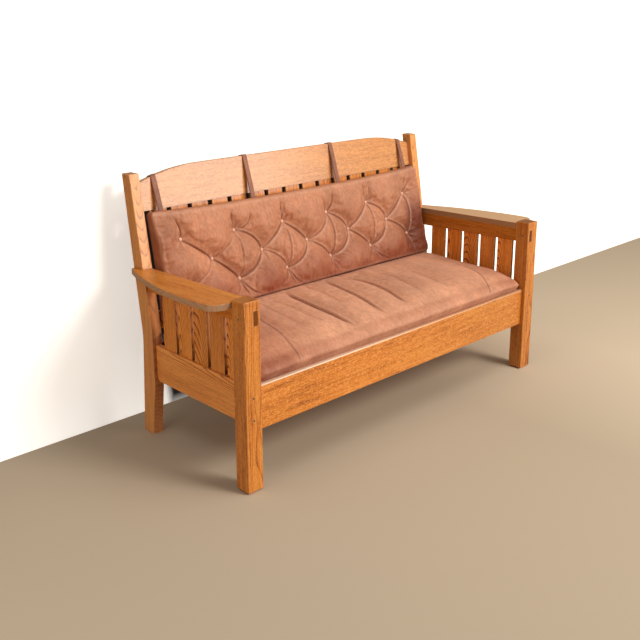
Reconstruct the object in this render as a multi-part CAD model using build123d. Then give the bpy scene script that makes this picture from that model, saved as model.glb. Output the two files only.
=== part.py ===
from build123d import *
import os
from math import asin, atan2, cos, degrees, radians, sin, sqrt, tan

# Mission settle: an oak bench seat with slatted sides and back, wide bowed arms, and two
# loose leather cushions. The tufted back cushion hangs from straps over the crest rail.
#
# Frame: X runs across the seat, Y from the front (negative) to the back, Z up.
# The origin lies on the floor under the middle of the whole settle.
# Lengths are in millimetres and angles in degrees. Sizes measured along Y start at the
# front faces of the front posts. A name that ends in share is a part of another size.

# Posts
post_span = 1570.0            # over the outer faces of the two front posts
front_post_width = 63.0
front_post_depth = 60.0
front_post_rise = 8.0         # its top, above the top of the arm
rear_post_width = 40.0
rear_post_inset = 28.0        # rear post's outer face, in from the front post's outer face
rear_post_height = 947.0
seat_to_rear_post = 549.0     # front faces of the front posts to the rear post at the seat
rear_foot_kick = 25.0         # the rear foot stands this much further back than the seat
rear_foot_depth = 59.0
rear_knee_depth = 60.0
rear_top_depth = 46.0
lower_knee_height = 200.0
rear_knee_height = 372.0
rake_rise = 53.0              # the back leans from this far above the side rails
back_lean_run = 91.0          # how far the lean carries the post's front edge at the top
lower_knee_round = 400.0
upper_knee_round = 500.0
rear_knee_round = 300.0
foot_bevel = 7.0
post_edge_round = 3.0
post_top_bevel = 2.5
rear_post_bevel = 1.8

# Joinery
joint_gap = 0.2               # between a tenon and its mortise, all round
tenon_thickness = 11.0
tenon_shoulder = 10.0         # rail above and below its tenon
mortise_overrun = 1.0
peg_diameter = 9.0
peg_gap = 0.1

# Front rail
front_rail_setback = 15.0
front_rail_thickness = 22.0
front_rail_bottom = 202.0
front_rail_top = 352.0
front_rail_tenon_length = 44.0
front_rail_tenon_setback = 4.0
front_rail_round = 3.0
front_peg_inset = 30.0        # peg centres, in from the post's outer face
front_peg_top_drop = 28.0     # upper peg, below the rail's top
front_peg_rise = 47.0         # lower peg, above the rail's bottom
front_peg_length = 36.0

# Side and rear rails
side_rail_thickness = 19.0
side_rail_inset = 42.0        # its outer face, in from the front post's outer face
side_rail_bottom = 214.0
side_rail_top = 347.0
side_rail_corner_round = 18.0
side_rail_front_tenon = 26.0
side_rail_rear_tenon = 14.0
rear_rail_thickness = 22.0
rear_rail_setback = 12.0      # behind the rear post's front edge at the seat
rear_rail_tenon_length = 28.0

# Arm rails and arms
arm_rail_thickness = 25.0
arm_rail_inset = 36.0
arm_rail_height = 54.0
arm_slope = 1.25              # the arms fall towards the back
arm_underside = 610.0         # at the back of the front post
arm_thickness = 22.0
arm_overhang = 72.0           # beyond the front post's outer face
arm_inner = 61.0              # inner edge, in from the front post's outer face
arm_corner_round = 50.0
arm_bow_y = 376.0             # where the outer edge's bow is measured
arm_bow_overhang = 58.0
arm_post_lap = 48.0           # how far its rear tip runs past the rear post's front edge
arm_tip_width = 16.0          # the rear tip, outside the rear post
arm_edge_round = 2.5
through_tenon_thickness = 18.0
through_tenon_height = 48.0
arm_rear_tenon = 18.0
arm_peg_setback = 28.0        # peg centre, behind the front post's front face

# Side slats
side_slat_count = 5
side_slat_width = 73.5
side_slat_gap = 15.0
side_slat_thickness = 10.0
side_slat_start = 17.0        # first slat, behind the front post's back
side_slat_inset = 48.0        # outer face, in from the front post's outer face
slat_depth = 12.0             # how far a slat's end goes into its rail

# Back: crest rail, lower rail and slats, measured up and across the lean
back_setback = 20.0           # rails' front faces, behind the rear post's front edge
back_rail_thickness = 20.0
crest_bottom = 421.0          # along the lean, from the height where it begins
crest_height = 145.0
crest_end_drop = 45.0
crest_flat_half = 440.0
crest_tenon_length = 26.0
crest_tenon_low = 12.0        # tenon's lower edge, above the crest's bottom
crest_tenon_height = 72.0
back_tenon_thickness = 10.0
crest_round = 2.5
lower_back_height = 62.0
back_slat_count = 15
back_slat_width = 72.0
back_slat_end_gap = 37.0      # first and last slat, to the rear posts
back_slat_thickness = 10.0

# Seat deck
cleat_size = 22.0
cleat_end_gap = 2.0
seat_slat_count = 10
seat_slat_width = 95.0
seat_slat_thickness = 14.0
seat_slat_margin = 12.0       # first and last slat, in from the cleat's ends
seat_slat_end_gap = 0.3
screw_count = 5
screw_diameter = 4.0
screw_length = 34.0
screw_head_diameter = 8.0
screw_head_height = 3.0
screw_margin = 90.0
screw_gap = 0.1

# Seat cushion
soft_gap = 0.3                # between a cushion and what it rests on
seat_cushion_side_gap = 8.0
seat_cushion_front = 12.0
seat_cushion_back_gap = 8.0   # in front of the rear posts
seat_cushion_side = 66.0      # height of the front top edge above the deck
seat_cushion_crown = 98.0     # height of the middle above the deck
seat_cushion_foot = 12.0      # how far the lower edge draws in under the bulge
seat_cushion_shoulder = 22.0
seat_cushion_pull = 7.0       # how far the long sides draw in between the corners
seat_cushion_end_share = 0.7  # the ends' height, as a part of the sides'

# Back cushion, measured up and across the lean
back_cushion_side_gap = 15.0  # at each end, to the rear post's inner face
back_cushion_lift = 12.0      # its lower edge, above the seat cushion's edge
back_cushion_drop = 23.0      # its upper edge, below the crest rail
back_cushion_corner_rise = 17.0
back_cushion_front = 92.0     # front of the crown, from the cushion's flat back
back_cushion_edge = 62.0      # front of the top edge, from the flat back
back_cushion_low_edge = 78.0  # front of the bottom edge, from the flat back
back_cushion_foot = 14.0
back_cushion_shoulder = 30.0
back_cushion_end_share = 0.8  # the ends' thickness, as a part of the edges'

# Tufting
button_columns = 6
button_end_inset = 104.5      # outermost buttons, in from the cushion's ends
button_row_pitch = 91.0
button_row_drop = 8.0         # the middle row, below the middle of the cushion
button_level = 38.0           # a button's seat, from the cushion's flat back
button_row_count = 3
button_diameter = 15.0
button_height = 4.0
button_crown = 2.5
dimple_mouth = 66.0
dimple_depth = 56.0
crease_level = 68.0           # bottom of a crease, from the cushion's flat back
crease_half_width = 13.0
crease_depth = 26.0
crease_start = 18.0           # a crease's ends, from the middles of its buttons

# Straps
strap_width = 22.0
strap_thickness = 3.5
strap_end_inset = 67.0        # outer straps, in from the rear posts
inner_strap_share = 0.354     # the inner straps' place, as a part of the outer ones'
strap_back_drop = 58.0
strap_lip = 7.0
strap_end_level = 22.0        # lower end, from the cushion's flat back
strap_end_depth = 30.0
strap_hang_gap = 1.0
strap_stud_diameter = 9.0
strap_stud_height = 2.5
strap_stud_rise = 14.0

# Places that follow from the sizes above
overall_depth = seat_to_rear_post + back_lean_run + rear_top_depth
front_y = -overall_depth / 2
left_x = -post_span / 2
rake_height = side_rail_top + rake_rise
front_post_height = arm_underside + arm_thickness + front_post_rise
lean = atan2(back_lean_run, rear_post_height - rake_height)
lean_frame = Plane(
    origin=(0, front_y + seat_to_rear_post, rake_height),
    x_dir=(1, 0, 0),
    z_dir=(0, -cos(lean), sin(lean)),
)
side_inner = left_x + rear_post_inset + rear_post_width
post_inner = left_x + front_post_width
crest_top = crest_bottom + crest_height
back_slat_pitch = (-2 * (side_inner + back_slat_end_gap) - back_slat_width) / (back_slat_count - 1)
back_cushion_half = -side_inner - back_cushion_side_gap
button_pitch = 2 * (back_cushion_half - button_end_inset) / (button_columns - 1)
outer_strap_place = -side_inner - strap_end_inset
strap_places = (inner_strap_share * outer_strap_place, outer_strap_place)
back_cushion_low = front_rail_top + seat_cushion_side + back_cushion_lift - rake_height
back_cushion_high = crest_bottom - back_cushion_drop
button_row_middle = (back_cushion_low + back_cushion_high) / 2 - button_row_drop
cushion_back_level = -back_setback + soft_gap
arm_rear_reach = seat_to_rear_post + (arm_underside - rake_height) * tan(lean) + arm_post_lap


def span_between(pairs, gap=0.0):
    """A square block between a low and a high place on X, Y and Z, grown by a gap."""
    sizes = [high - low + 2 * gap for low, high in pairs]
    middles = [(low + high) / 2 for low, high in pairs]
    return Pos(*middles) * Box(*sizes)


def on_lean(shape):
    """Carries a shape from the lean's own X, up and forward axes to its place."""
    return lean_frame.location * shape


def mirrored(shape):
    return mirror(shape, about=Plane.YZ)


def at_depth(distance):
    """Y of a place that lies this far behind the front faces of the front posts."""
    return front_y + distance


def lean_y(height):
    """Y of the rear post's leaning front edge at a height."""
    return at_depth(seat_to_rear_post) + (height - rake_height) * tan(lean)


def side_profile(points, x_low, thickness):
    """A solid with a given outline seen from the side, between two places along X."""
    outline = Polyline(*[(x_low, y, z) for y, z in points], close=True)
    return extrude(make_face(outline), amount=thickness, dir=(1, 0, 0))


def rod(start, direction, diameter, length):
    """A round rod from its start, along a direction."""
    return Plane(origin=start, z_dir=direction) * Cylinder(
        diameter / 2, length, align=(Align.CENTER, Align.CENTER, Align.MIN)
    )


def edge_near(solid, x_axis_point):
    """The edge along X whose middle lies nearest to a point."""
    return solid.edges().filter_by(Axis.X).sort_by_distance(x_axis_point)[0]


# Tenons, shared by the pieces that carry them and the mortises that take them

def front_rail_tenon():
    y_low = at_depth(front_rail_setback + front_rail_tenon_setback)
    return (
        (post_inner - front_rail_tenon_length, post_inner),
        (y_low, y_low + tenon_thickness),
        (front_rail_bottom + tenon_shoulder, front_rail_top - tenon_shoulder),
    )


def side_rail_tenons():
    """The front and rear tenons of the left side rail."""
    margin = (side_rail_thickness - tenon_thickness) / 2
    x_low = left_x + side_rail_inset + margin
    across = (x_low, x_low + tenon_thickness)
    upright = (side_rail_bottom + tenon_shoulder, side_rail_top - tenon_shoulder)
    front_end = at_depth(front_post_depth)
    rear_end = at_depth(seat_to_rear_post)
    return (
        (across, (front_end - side_rail_front_tenon, front_end), upright),
        (across, (rear_end, rear_end + side_rail_rear_tenon), upright),
    )


def rear_rail_tenon():
    margin = (rear_rail_thickness - tenon_thickness) / 2
    y_low = at_depth(seat_to_rear_post + rear_rail_setback + margin)
    return (
        (side_inner - rear_rail_tenon_length, side_inner),
        (y_low, y_low + tenon_thickness),
        (side_rail_bottom + tenon_shoulder, side_rail_top - tenon_shoulder),
    )


def through_tenon():
    """The arm rail's front tenon, which shows on the face of the front post."""
    x_low = left_x + arm_rail_inset
    z_high = arm_underside - (arm_rail_height - through_tenon_height) / 2
    return (
        (x_low, x_low + through_tenon_thickness),
        (at_depth(0), at_depth(front_post_depth)),
        (z_high - through_tenon_height, z_high),
    )


def arm_rear_tenon_span():
    reach = seat_to_rear_post + (arm_underside - rake_height) * tan(lean)
    drop = (reach - front_post_depth) * tan(radians(arm_slope))
    z_high = arm_underside - drop - tenon_shoulder
    z_low = arm_underside - drop - arm_rail_height + tenon_shoulder
    x_low = left_x + arm_rail_inset + (arm_rail_thickness - tenon_thickness) / 2
    y_end = lean_y(z_high) + arm_rear_tenon
    return (x_low, x_low + tenon_thickness), (y_end - 2 * arm_rear_tenon, y_end), (z_low, z_high)


def back_tenon(low, height):
    """A tenon of a back rail, in the lean's own axes, at the left post."""
    w_middle = -back_setback - back_rail_thickness / 2
    half = back_tenon_thickness / 2
    return (
        (side_inner - crest_tenon_length, side_inner),
        (low, low + height),
        (w_middle - half, w_middle + half),
    )


def crest_tenon():
    return back_tenon(crest_bottom + crest_tenon_low, crest_tenon_height)


def lower_back_tenon():
    return back_tenon(tenon_shoulder, lower_back_height - 2 * tenon_shoulder)


def front_peg_places():
    """Peg centres at the left front post's face, as X and Z."""
    x = left_x + front_peg_inset
    return ((x, front_rail_top - front_peg_top_drop), (x, front_rail_bottom + front_peg_rise))


def front_pegs(diameter):
    shapes = []
    for x, z in front_peg_places():
        shapes.append(rod((x, at_depth(0), z), (0, 1, 0), diameter, front_peg_length))
    return shapes


def arm_peg(diameter):
    """The peg that locks the through tenon, from the post's outer to its inner face."""
    _, _, (z_low, z_high) = through_tenon()
    start = (left_x, at_depth(arm_peg_setback), (z_low + z_high) / 2)
    return rod(start, (1, 0, 0), diameter, front_post_width)


# Posts

def front_post():
    across = (left_x, left_x + front_post_width)
    deep = (at_depth(0), at_depth(front_post_depth))
    blank = span_between((across, deep, (0, front_post_height)))
    bevelled = chamfer(blank.faces().sort_by(Axis.Z)[0].edges(), foot_bevel)
    bevelled = chamfer(bevelled.faces().sort_by(Axis.Z)[-1].edges(), post_top_bevel)
    post = bevelled & fillet(blank.edges().filter_by(Axis.Z), post_edge_round)
    post -= span_between(front_rail_tenon(), joint_gap)
    post -= span_between(side_rail_tenons()[0], joint_gap)
    x_pair, (y_low, y_high), z_pair = through_tenon()
    passage = (x_pair, (y_low - mortise_overrun, y_high + mortise_overrun), z_pair)
    post -= span_between(passage, joint_gap)
    for peg in front_pegs(peg_diameter + 2 * peg_gap):
        post -= peg
    return post - arm_peg(peg_diameter + 2 * peg_gap)


def rear_post_outline():
    seat = seat_to_rear_post
    return [(at_depth(y), z) for y, z in (
        (seat + rear_foot_kick, 0),
        (seat, lower_knee_height),
        (seat, rake_height),
        (seat + back_lean_run, rear_post_height),
        (overall_depth, rear_post_height),
        (seat + rear_knee_depth, rear_knee_height),
        (seat + rear_foot_kick + rear_foot_depth, 0),
    )]


def rear_post():
    outline = rear_post_outline()
    x_low = left_x + rear_post_inset
    face = make_face(Polyline(*[(x_low, y, z) for y, z in outline], close=True))
    rounds = ((1, lower_knee_round), (2, upper_knee_round), (5, rear_knee_round))
    for corner, radius in rounds:
        y, z = outline[corner]
        face = fillet(face.vertices().sort_by_distance((x_low, y, z))[0], radius)
    post = extrude(face, amount=rear_post_width, dir=(1, 0, 0))
    post = chamfer(post.faces().filter_by(Plane.YZ).edges(), rear_post_bevel)
    post -= span_between(side_rail_tenons()[1], joint_gap)
    post -= span_between(rear_rail_tenon(), joint_gap)
    post -= span_between(arm_rear_tenon_span(), joint_gap)
    post -= on_lean(span_between(crest_tenon(), joint_gap))
    return post - on_lean(span_between(lower_back_tenon(), joint_gap))


# Rails under the seat

def front_seat_rail():
    y_low = at_depth(front_rail_setback)
    deep = (y_low, y_low + front_rail_thickness)
    rail = span_between(((post_inner, -post_inner), deep, (front_rail_bottom, front_rail_top)))
    for z in (front_rail_bottom, front_rail_top):
        rail = fillet(edge_near(rail, (0, y_low, z)), front_rail_round)
    tenon = span_between(front_rail_tenon())
    rail = rail.fuse(tenon, mirrored(tenon))
    for peg in front_pegs(peg_diameter + 2 * peg_gap):
        rail -= peg
        rail -= mirrored(peg)
    for screw in cleat_screw_set(front_cleat_span(), -1, screw_gap):
        rail -= screw
    return rail


def rear_seat_rail():
    y_low = at_depth(seat_to_rear_post + rear_rail_setback)
    deep = (y_low, y_low + rear_rail_thickness)
    rail = span_between(((side_inner, -side_inner), deep, (side_rail_bottom, side_rail_top)))
    tenon = span_between(rear_rail_tenon())
    rail = rail.fuse(tenon, mirrored(tenon))
    for screw in cleat_screw_set(rear_cleat_span(), 1, screw_gap):
        rail -= screw
    return rail


def side_rail():
    x_low = left_x + side_rail_inset
    front_end = at_depth(front_post_depth)
    rear_end = at_depth(seat_to_rear_post)
    rail = span_between((
        (x_low, x_low + side_rail_thickness),
        (front_end, rear_end),
        (side_rail_bottom, side_rail_top),
    ))
    rail = fillet(edge_near(rail, (x_low, rear_end, side_rail_bottom)), side_rail_corner_round)
    front_tenon, rear_tenon = side_rail_tenons()
    rail = rail.fuse(span_between(front_tenon), span_between(rear_tenon))
    for place in range(side_slat_count):
        rail -= span_between(side_slat_span(place), joint_gap)
    return rail


# Arm rails, arms and side slats

def arm_drop(y):
    """How far the arm's underside has fallen at a place along Y."""
    return (y - at_depth(front_post_depth)) * tan(radians(arm_slope))


def arm_rail():
    front_end = at_depth(front_post_depth)
    rear_top = lean_y(arm_underside) + mortise_overrun
    top = arm_underside
    points = (
        (front_end, top - arm_rail_height),
        (front_end, top),
        (rear_top, top - arm_drop(rear_top)),
        (rear_top, top - arm_rail_height - arm_drop(rear_top)),
    )
    x_low = left_x + arm_rail_inset
    rail = side_profile(points, x_low, arm_rail_thickness)
    rail -= behind_lean(x_low - mortise_overrun, arm_rail_thickness + 2 * mortise_overrun, 0)
    x_pair, (y_low, y_high), z_pair = through_tenon()
    rail = rail.fuse(span_between((x_pair, (y_low, y_high), z_pair)))
    rail = rail.fuse(span_between(arm_rear_tenon_span()))
    rail -= arm_peg(peg_diameter + 2 * peg_gap)
    for place in range(side_slat_count):
        rail -= span_between(side_slat_span(place), joint_gap)
    return rail


def behind_lean(x_low, width, gap):
    """All the room behind the rear post's leaning front edge, less a gap in front of it."""
    far = at_depth(2 * overall_depth)
    points = (
        (lean_y(rake_height) - gap, rake_height),
        (lean_y(rear_post_height) - gap, rear_post_height),
        (far, rear_post_height),
        (far, rake_height),
    )
    return side_profile(points, x_low, width)


def arm():
    """A wide board, bowed outside, butted to the front post and notched round the rear one."""
    slope = radians(arm_slope)
    start = at_depth(front_post_depth)
    frame = Plane(
        origin=(0, start, arm_underside), x_dir=(1, 0, 0), z_dir=(0, sin(slope), cos(slope))
    )
    inner = left_x + arm_inner
    outer = left_x - arm_overhang
    notch = left_x + rear_post_inset
    tip = notch - arm_tip_width
    rear = arm_rear_reach - front_post_depth
    bow = (left_x - arm_bow_overhang, arm_bow_y - front_post_depth)
    straight_end = (outer, arm_corner_round)
    outline = [
        Line((inner, -mortise_overrun), (outer, -mortise_overrun)),
        Line((outer, -mortise_overrun), straight_end),
        ThreePointArc(straight_end, bow, (tip, rear)),
        Line((tip, rear), (inner, rear)),
        Line((inner, rear), (inner, -mortise_overrun)),
    ]
    face = make_face(outline)
    corner = face.vertices().sort_by_distance((outer, -mortise_overrun, 0))[0]
    face = fillet(corner, arm_corner_round - mortise_overrun)
    board = extrude(face, amount=arm_thickness)
    faces = board.faces().sort_by(Axis.Z)
    rim = [edge for edge in faces[0].edges() + faces[-1].edges() if edge.center().X < left_x]
    board = frame.location * fillet(rim, arm_edge_round)
    ahead = (at_depth(0), start)
    board -= span_between(((outer, inner + front_post_width), ahead, (0, rear_post_height)))
    return board - behind_lean(notch - joint_gap, front_post_width + joint_gap, joint_gap)


def side_slat_span(place):
    y_low = front_post_depth + side_slat_start + place * (side_slat_width + side_slat_gap)
    y_middle = at_depth(y_low + side_slat_width / 2)
    rail_under = arm_underside - arm_rail_height - arm_drop(y_middle)
    x_low = left_x + side_slat_inset
    return (
        (x_low, x_low + side_slat_thickness),
        (at_depth(y_low), at_depth(y_low + side_slat_width)),
        (side_rail_top - slat_depth, rail_under + slat_depth),
    )


# Back

def crest_face():
    """Front view of the crest rail: flat in the middle, rounded down at both shoulders."""
    half = -side_inner
    run = half - crest_flat_half
    radius = (run * run + crest_end_drop * crest_end_drop) / (2 * crest_end_drop)
    middle_turn = asin(run / radius) / 2
    middle = (
        crest_flat_half + radius * sin(middle_turn),
        crest_top - radius * (1 - cos(middle_turn)),
    )
    end = (half, crest_top - crest_end_drop)
    flip = lambda point: (-point[0], point[1])
    return make_face([
        Line((-half, crest_bottom), (half, crest_bottom)),
        Line((half, crest_bottom), end),
        ThreePointArc(end, middle, (crest_flat_half, crest_top)),
        Line((crest_flat_half, crest_top), (-crest_flat_half, crest_top)),
        ThreePointArc((-crest_flat_half, crest_top), flip(middle), flip(end)),
        Line(flip(end), (-half, crest_bottom)),
    ])


def crest_fall(u):
    """How far the crest's top has dropped at a place across it, and its slope there."""
    run = -side_inner - crest_flat_half
    radius = (run * run + crest_end_drop * crest_end_drop) / (2 * crest_end_drop)
    past = max(abs(u) - crest_flat_half, 0)
    return radius - sqrt(radius * radius - past * past), asin(past / radius)


def crest_rail():
    rear = -back_setback - back_rail_thickness
    rail = Pos(0, 0, rear) * extrude(crest_face(), amount=back_rail_thickness)
    tops = [edge for edge in rail.faces().sort_by(Axis.Z)[-1].edges()
            if edge.center().Y > crest_top - crest_end_drop]
    rail = fillet(tops, crest_round)
    tenon = span_between(crest_tenon())
    rail = rail.fuse(tenon, mirrored(tenon))
    for place in range(back_slat_count):
        rail -= span_between(back_slat_span(place), joint_gap)
    return on_lean(rail)


def lower_back_rail():
    rear = -back_setback - back_rail_thickness
    rail = span_between((
        (side_inner, -side_inner), (0, lower_back_height), (rear, -back_setback)
    ))
    tenon = span_between(lower_back_tenon())
    rail = rail.fuse(tenon, mirrored(tenon))
    for place in range(back_slat_count):
        rail -= span_between(back_slat_span(place), joint_gap)
    return on_lean(rail)


def back_slat_span(place):
    u_middle = (place - (back_slat_count - 1) / 2) * back_slat_pitch
    w_middle = -back_setback - back_rail_thickness / 2
    return (
        (u_middle - back_slat_width / 2, u_middle + back_slat_width / 2),
        (lower_back_height - slat_depth, crest_bottom + slat_depth),
        (w_middle - back_slat_thickness / 2, w_middle + back_slat_thickness / 2),
    )


# Seat deck

def front_cleat_span():
    y_low = at_depth(front_rail_setback + front_rail_thickness)
    z_high = front_rail_top - seat_slat_thickness
    x_end = post_inner + cleat_end_gap
    return (x_end, -x_end), (y_low, y_low + cleat_size), (z_high - cleat_size, z_high)


def rear_cleat_span():
    y_high = at_depth(seat_to_rear_post + rear_rail_setback)
    z_high = front_rail_top - seat_slat_thickness
    x_end = side_inner + cleat_end_gap
    return (x_end, -x_end), (y_high - cleat_size, y_high), (z_high - cleat_size, z_high)


def cleat_screw_set(cleat, toward, gap=0.0):
    """Screws through a cleat into its rail: toward is -1 for the front rail, 1 for the rear."""
    (x_low, x_high), (y_low, y_high), (z_low, z_high) = cleat
    face_y = y_high if toward < 0 else y_low
    first = x_low + screw_margin
    pitch = (x_high - x_low - 2 * screw_margin) / (screw_count - 1)
    shapes = []
    for place in range(screw_count):
        point = (first + place * pitch, face_y, (z_low + z_high) / 2)
        shank = rod(point, (0, toward, 0), screw_diameter + 2 * gap, screw_length + gap)
        head = rod(point, (0, toward, 0), screw_head_diameter + 2 * gap, screw_head_height + gap)
        shapes.append(shank.fuse(head))
    return shapes


def cleat(span, toward):
    bar = span_between(span)
    for screw in cleat_screw_set(span, toward, screw_gap):
        bar -= screw
    return bar


def seat_slat(place):
    first = side_inner + cleat_end_gap + seat_slat_margin
    pitch = (-2 * first - seat_slat_width) / (seat_slat_count - 1)
    x_low = first + place * pitch
    y_front = at_depth(front_rail_setback + front_rail_thickness) + seat_slat_end_gap
    y_back = at_depth(seat_to_rear_post + rear_rail_setback) - seat_slat_end_gap
    return span_between((
        (x_low, x_low + seat_slat_width),
        (y_front, y_back),
        (front_rail_top - seat_slat_thickness, front_rail_top),
    ))


# Cushions: cross sections at shares of the half length, from the middle out, each with
# the share of the crown's fullness that it has and the share of the corners' reach

cushion_half_shares = (
    (0.0, 1.0, 0.0),
    (0.4, 0.98, 0.08),
    (0.7, 0.91, 0.4),
    (0.86, 0.8, 0.74),
    (0.94, 0.65, 0.93),
    (0.98, 0.46, 0.88),
    (1.0, 0.22, 0.66),
)
cushion_section_shares = [
    (-place, crown, corner) for place, crown, corner in reversed(cushion_half_shares[1:])
] + list(cushion_half_shares)


def section_face(x, corners, bulges):
    """A closed section at one X: a straight base and three bulging sides."""
    base_start, base_end, far_end, far_start = [(x, *point) for point in corners]
    end_bulge, crown, start_bulge = [(x, *point) for point in bulges]
    return make_face([
        Line(base_start, base_end),
        ThreePointArc(base_end, end_bulge, far_end),
        ThreePointArc(far_end, crown, far_start),
        ThreePointArc(far_start, start_bulge, base_start),
    ])


def seat_cushion():
    base = front_rail_top + soft_gap
    half = -post_inner - seat_cushion_side_gap
    sections = []
    for place_share, crown_share, corner_share in cushion_section_shares:
        pull = seat_cushion_pull * (1 - corner_share)
        front = at_depth(seat_cushion_front) + pull
        back = at_depth(seat_to_rear_post - seat_cushion_back_gap) - pull
        fullness_share = seat_cushion_end_share + (1 - seat_cushion_end_share) * crown_share
        side_rise = seat_cushion_side * fullness_share
        crown_rise = side_rise + (seat_cushion_crown - seat_cushion_side) * crown_share
        middle = (front + back) / 2
        foot, shoulder = seat_cushion_foot, seat_cushion_shoulder
        corners = (
            (front + foot, base),
            (back - foot, base),
            (back - shoulder, base + side_rise),
            (front + shoulder, base + side_rise),
        )
        bulges = (
            (back, base + side_rise / 2),
            (middle, base + crown_rise),
            (front, base + side_rise / 2),
        )
        sections.append(section_face(place_share * half, corners, bulges))
    return loft(sections, ruled=True)


def back_cushion_blank():
    base = cushion_back_level
    sections = []
    for place_share, crown_share, corner_share in cushion_section_shares:
        reach = back_cushion_corner_rise * (corner_share - 1)
        high = back_cushion_high + back_cushion_corner_rise + reach
        low = back_cushion_low - back_cushion_corner_rise - reach
        fullness_share = back_cushion_end_share + (1 - back_cushion_end_share) * crown_share
        edge = back_cushion_edge * fullness_share
        low_edge = back_cushion_low_edge * fullness_share
        crown = edge + (back_cushion_front - back_cushion_edge) * crown_share
        middle = (low + high) / 2
        foot, shoulder = back_cushion_foot, back_cushion_shoulder
        corners = (
            (low + foot, base),
            (high - foot, base),
            (high - shoulder, base + edge),
            (low + shoulder, base + low_edge),
        )
        bulges = (
            (high, base + edge / 2),
            (middle, base + crown),
            (low, base + low_edge / 2),
        )
        sections.append(section_face(place_share * back_cushion_half, corners, bulges))
    return loft(sections, ruled=True)


def button_places():
    """Buttons in three staggered rows, from the top row down."""
    rows = []
    for row in range(button_row_count):
        count = button_columns - row % 2
        v = button_row_middle + ((button_row_count - 1) / 2 - row) * button_row_pitch
        rows.append([((place - (count - 1) / 2) * button_pitch, v) for place in range(count)])
    return rows


def crease(start, end):
    """A sewn-in groove between two places on the cushion's front."""
    run = Vector(*end) - Vector(*start)
    turn = degrees(atan2(run.Y, run.X))
    length = run.length - 2 * crease_start
    base = cushion_back_level + crease_level
    section = make_face(Polyline(
        (0, 0, base),
        (0, crease_half_width, base + crease_depth),
        (0, -crease_half_width, base + crease_depth),
        close=True,
    ))
    groove = Pos(crease_start, 0, 0) * extrude(section, amount=length, dir=(1, 0, 0))
    return Pos(*start) * Rot(0, 0, turn) * groove


def crease_lines():
    top, middle, bottom = button_places()
    lines = []
    for outer_row in (top, bottom):
        for place, button in enumerate(middle):
            lines.append((outer_row[place], button))
            lines.append((button, outer_row[place + 1]))
    return lines


def back_cushion():
    cushion = back_cushion_blank()
    dimple = Pos(0, 0, cushion_back_level + button_level) * Cone(
        button_diameter / 2 + soft_gap, dimple_mouth, dimple_depth,
        align=(Align.CENTER, Align.CENTER, Align.MIN),
    )
    for row in button_places():
        for u, v in row:
            cushion -= Pos(u, v, 0) * dimple
    for start, end in crease_lines():
        cushion -= crease(start, end)
    return on_lean(cushion)


def cushion_buttons():
    body = Cylinder(button_diameter / 2, button_height,
                    align=(Align.CENTER, Align.CENTER, Align.MIN))
    body = fillet(body.edges().sort_by(Axis.Z)[-1], button_crown)
    level = cushion_back_level + button_level
    places = [place for row in button_places() for place in row]
    return [on_lean(Pos(u, v, level) * body) for u, v in places]


# Straps

def strap_loop(u):
    """The part of a strap that lies over the crest rail, tilted to the crest's top there."""
    fall, slope = crest_fall(u)
    front = -back_setback
    rear = front - back_rail_thickness
    thick = strap_thickness
    outer = ((-strap_lip, front), (-strap_lip, front + thick), (thick, front + thick),
             (thick, rear - thick), (-strap_back_drop, rear - thick), (-strap_back_drop, rear),
             (0, rear), (0, front))
    points = [(-strap_width / 2, v, w) for v, w in outer]
    band = extrude(make_face(Polyline(*points, close=True)), amount=strap_width, dir=(1, 0, 0))
    tilt = -degrees(slope) if u > 0 else degrees(slope)
    return Pos(u, crest_top - fall, 0) * Rot(0, 0, tilt) * band


def strap_stud(u):
    """A snap stud that holds the strap's rear end to the back of the crest rail."""
    fall, _ = crest_fall(u)
    level = -back_setback - back_rail_thickness - strap_thickness
    place = (u, crest_top - fall - strap_back_drop + strap_stud_rise, level)
    stud = rod(place, (0, 0, -1), strap_stud_diameter, strap_stud_height)
    return fillet(stud.edges().sort_by(Axis.Z)[0], strap_stud_height / 2)


def strap_hanger(u, cushion):
    """The part of a strap in front of the crest, down to its seam on the cushion."""
    fall, slope = crest_fall(u)
    top = crest_top - fall - strap_lip - strap_hang_gap - strap_width / 2 * sin(slope)
    end = back_cushion_high - strap_end_depth
    start_w = -back_setback
    end_w = cushion_back_level + strap_end_level
    thick = strap_thickness
    points = [(u - strap_width / 2, v, w) for v, w in (
        (top, start_w), (top, start_w + thick), (end, end_w + thick), (end, end_w),
    )]
    band = extrude(make_face(Polyline(*points, close=True)), amount=strap_width, dir=(1, 0, 0))
    return largest(on_lean(band) - cushion)


def largest(shape):
    """The largest solid of a cut shape, which is the piece above the cushion."""
    return shape.solids().sort_by(SortBy.VOLUME)[-1]


def strap_columns():
    return [side * place for place in strap_places for side in (-1, 1)]


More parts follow.
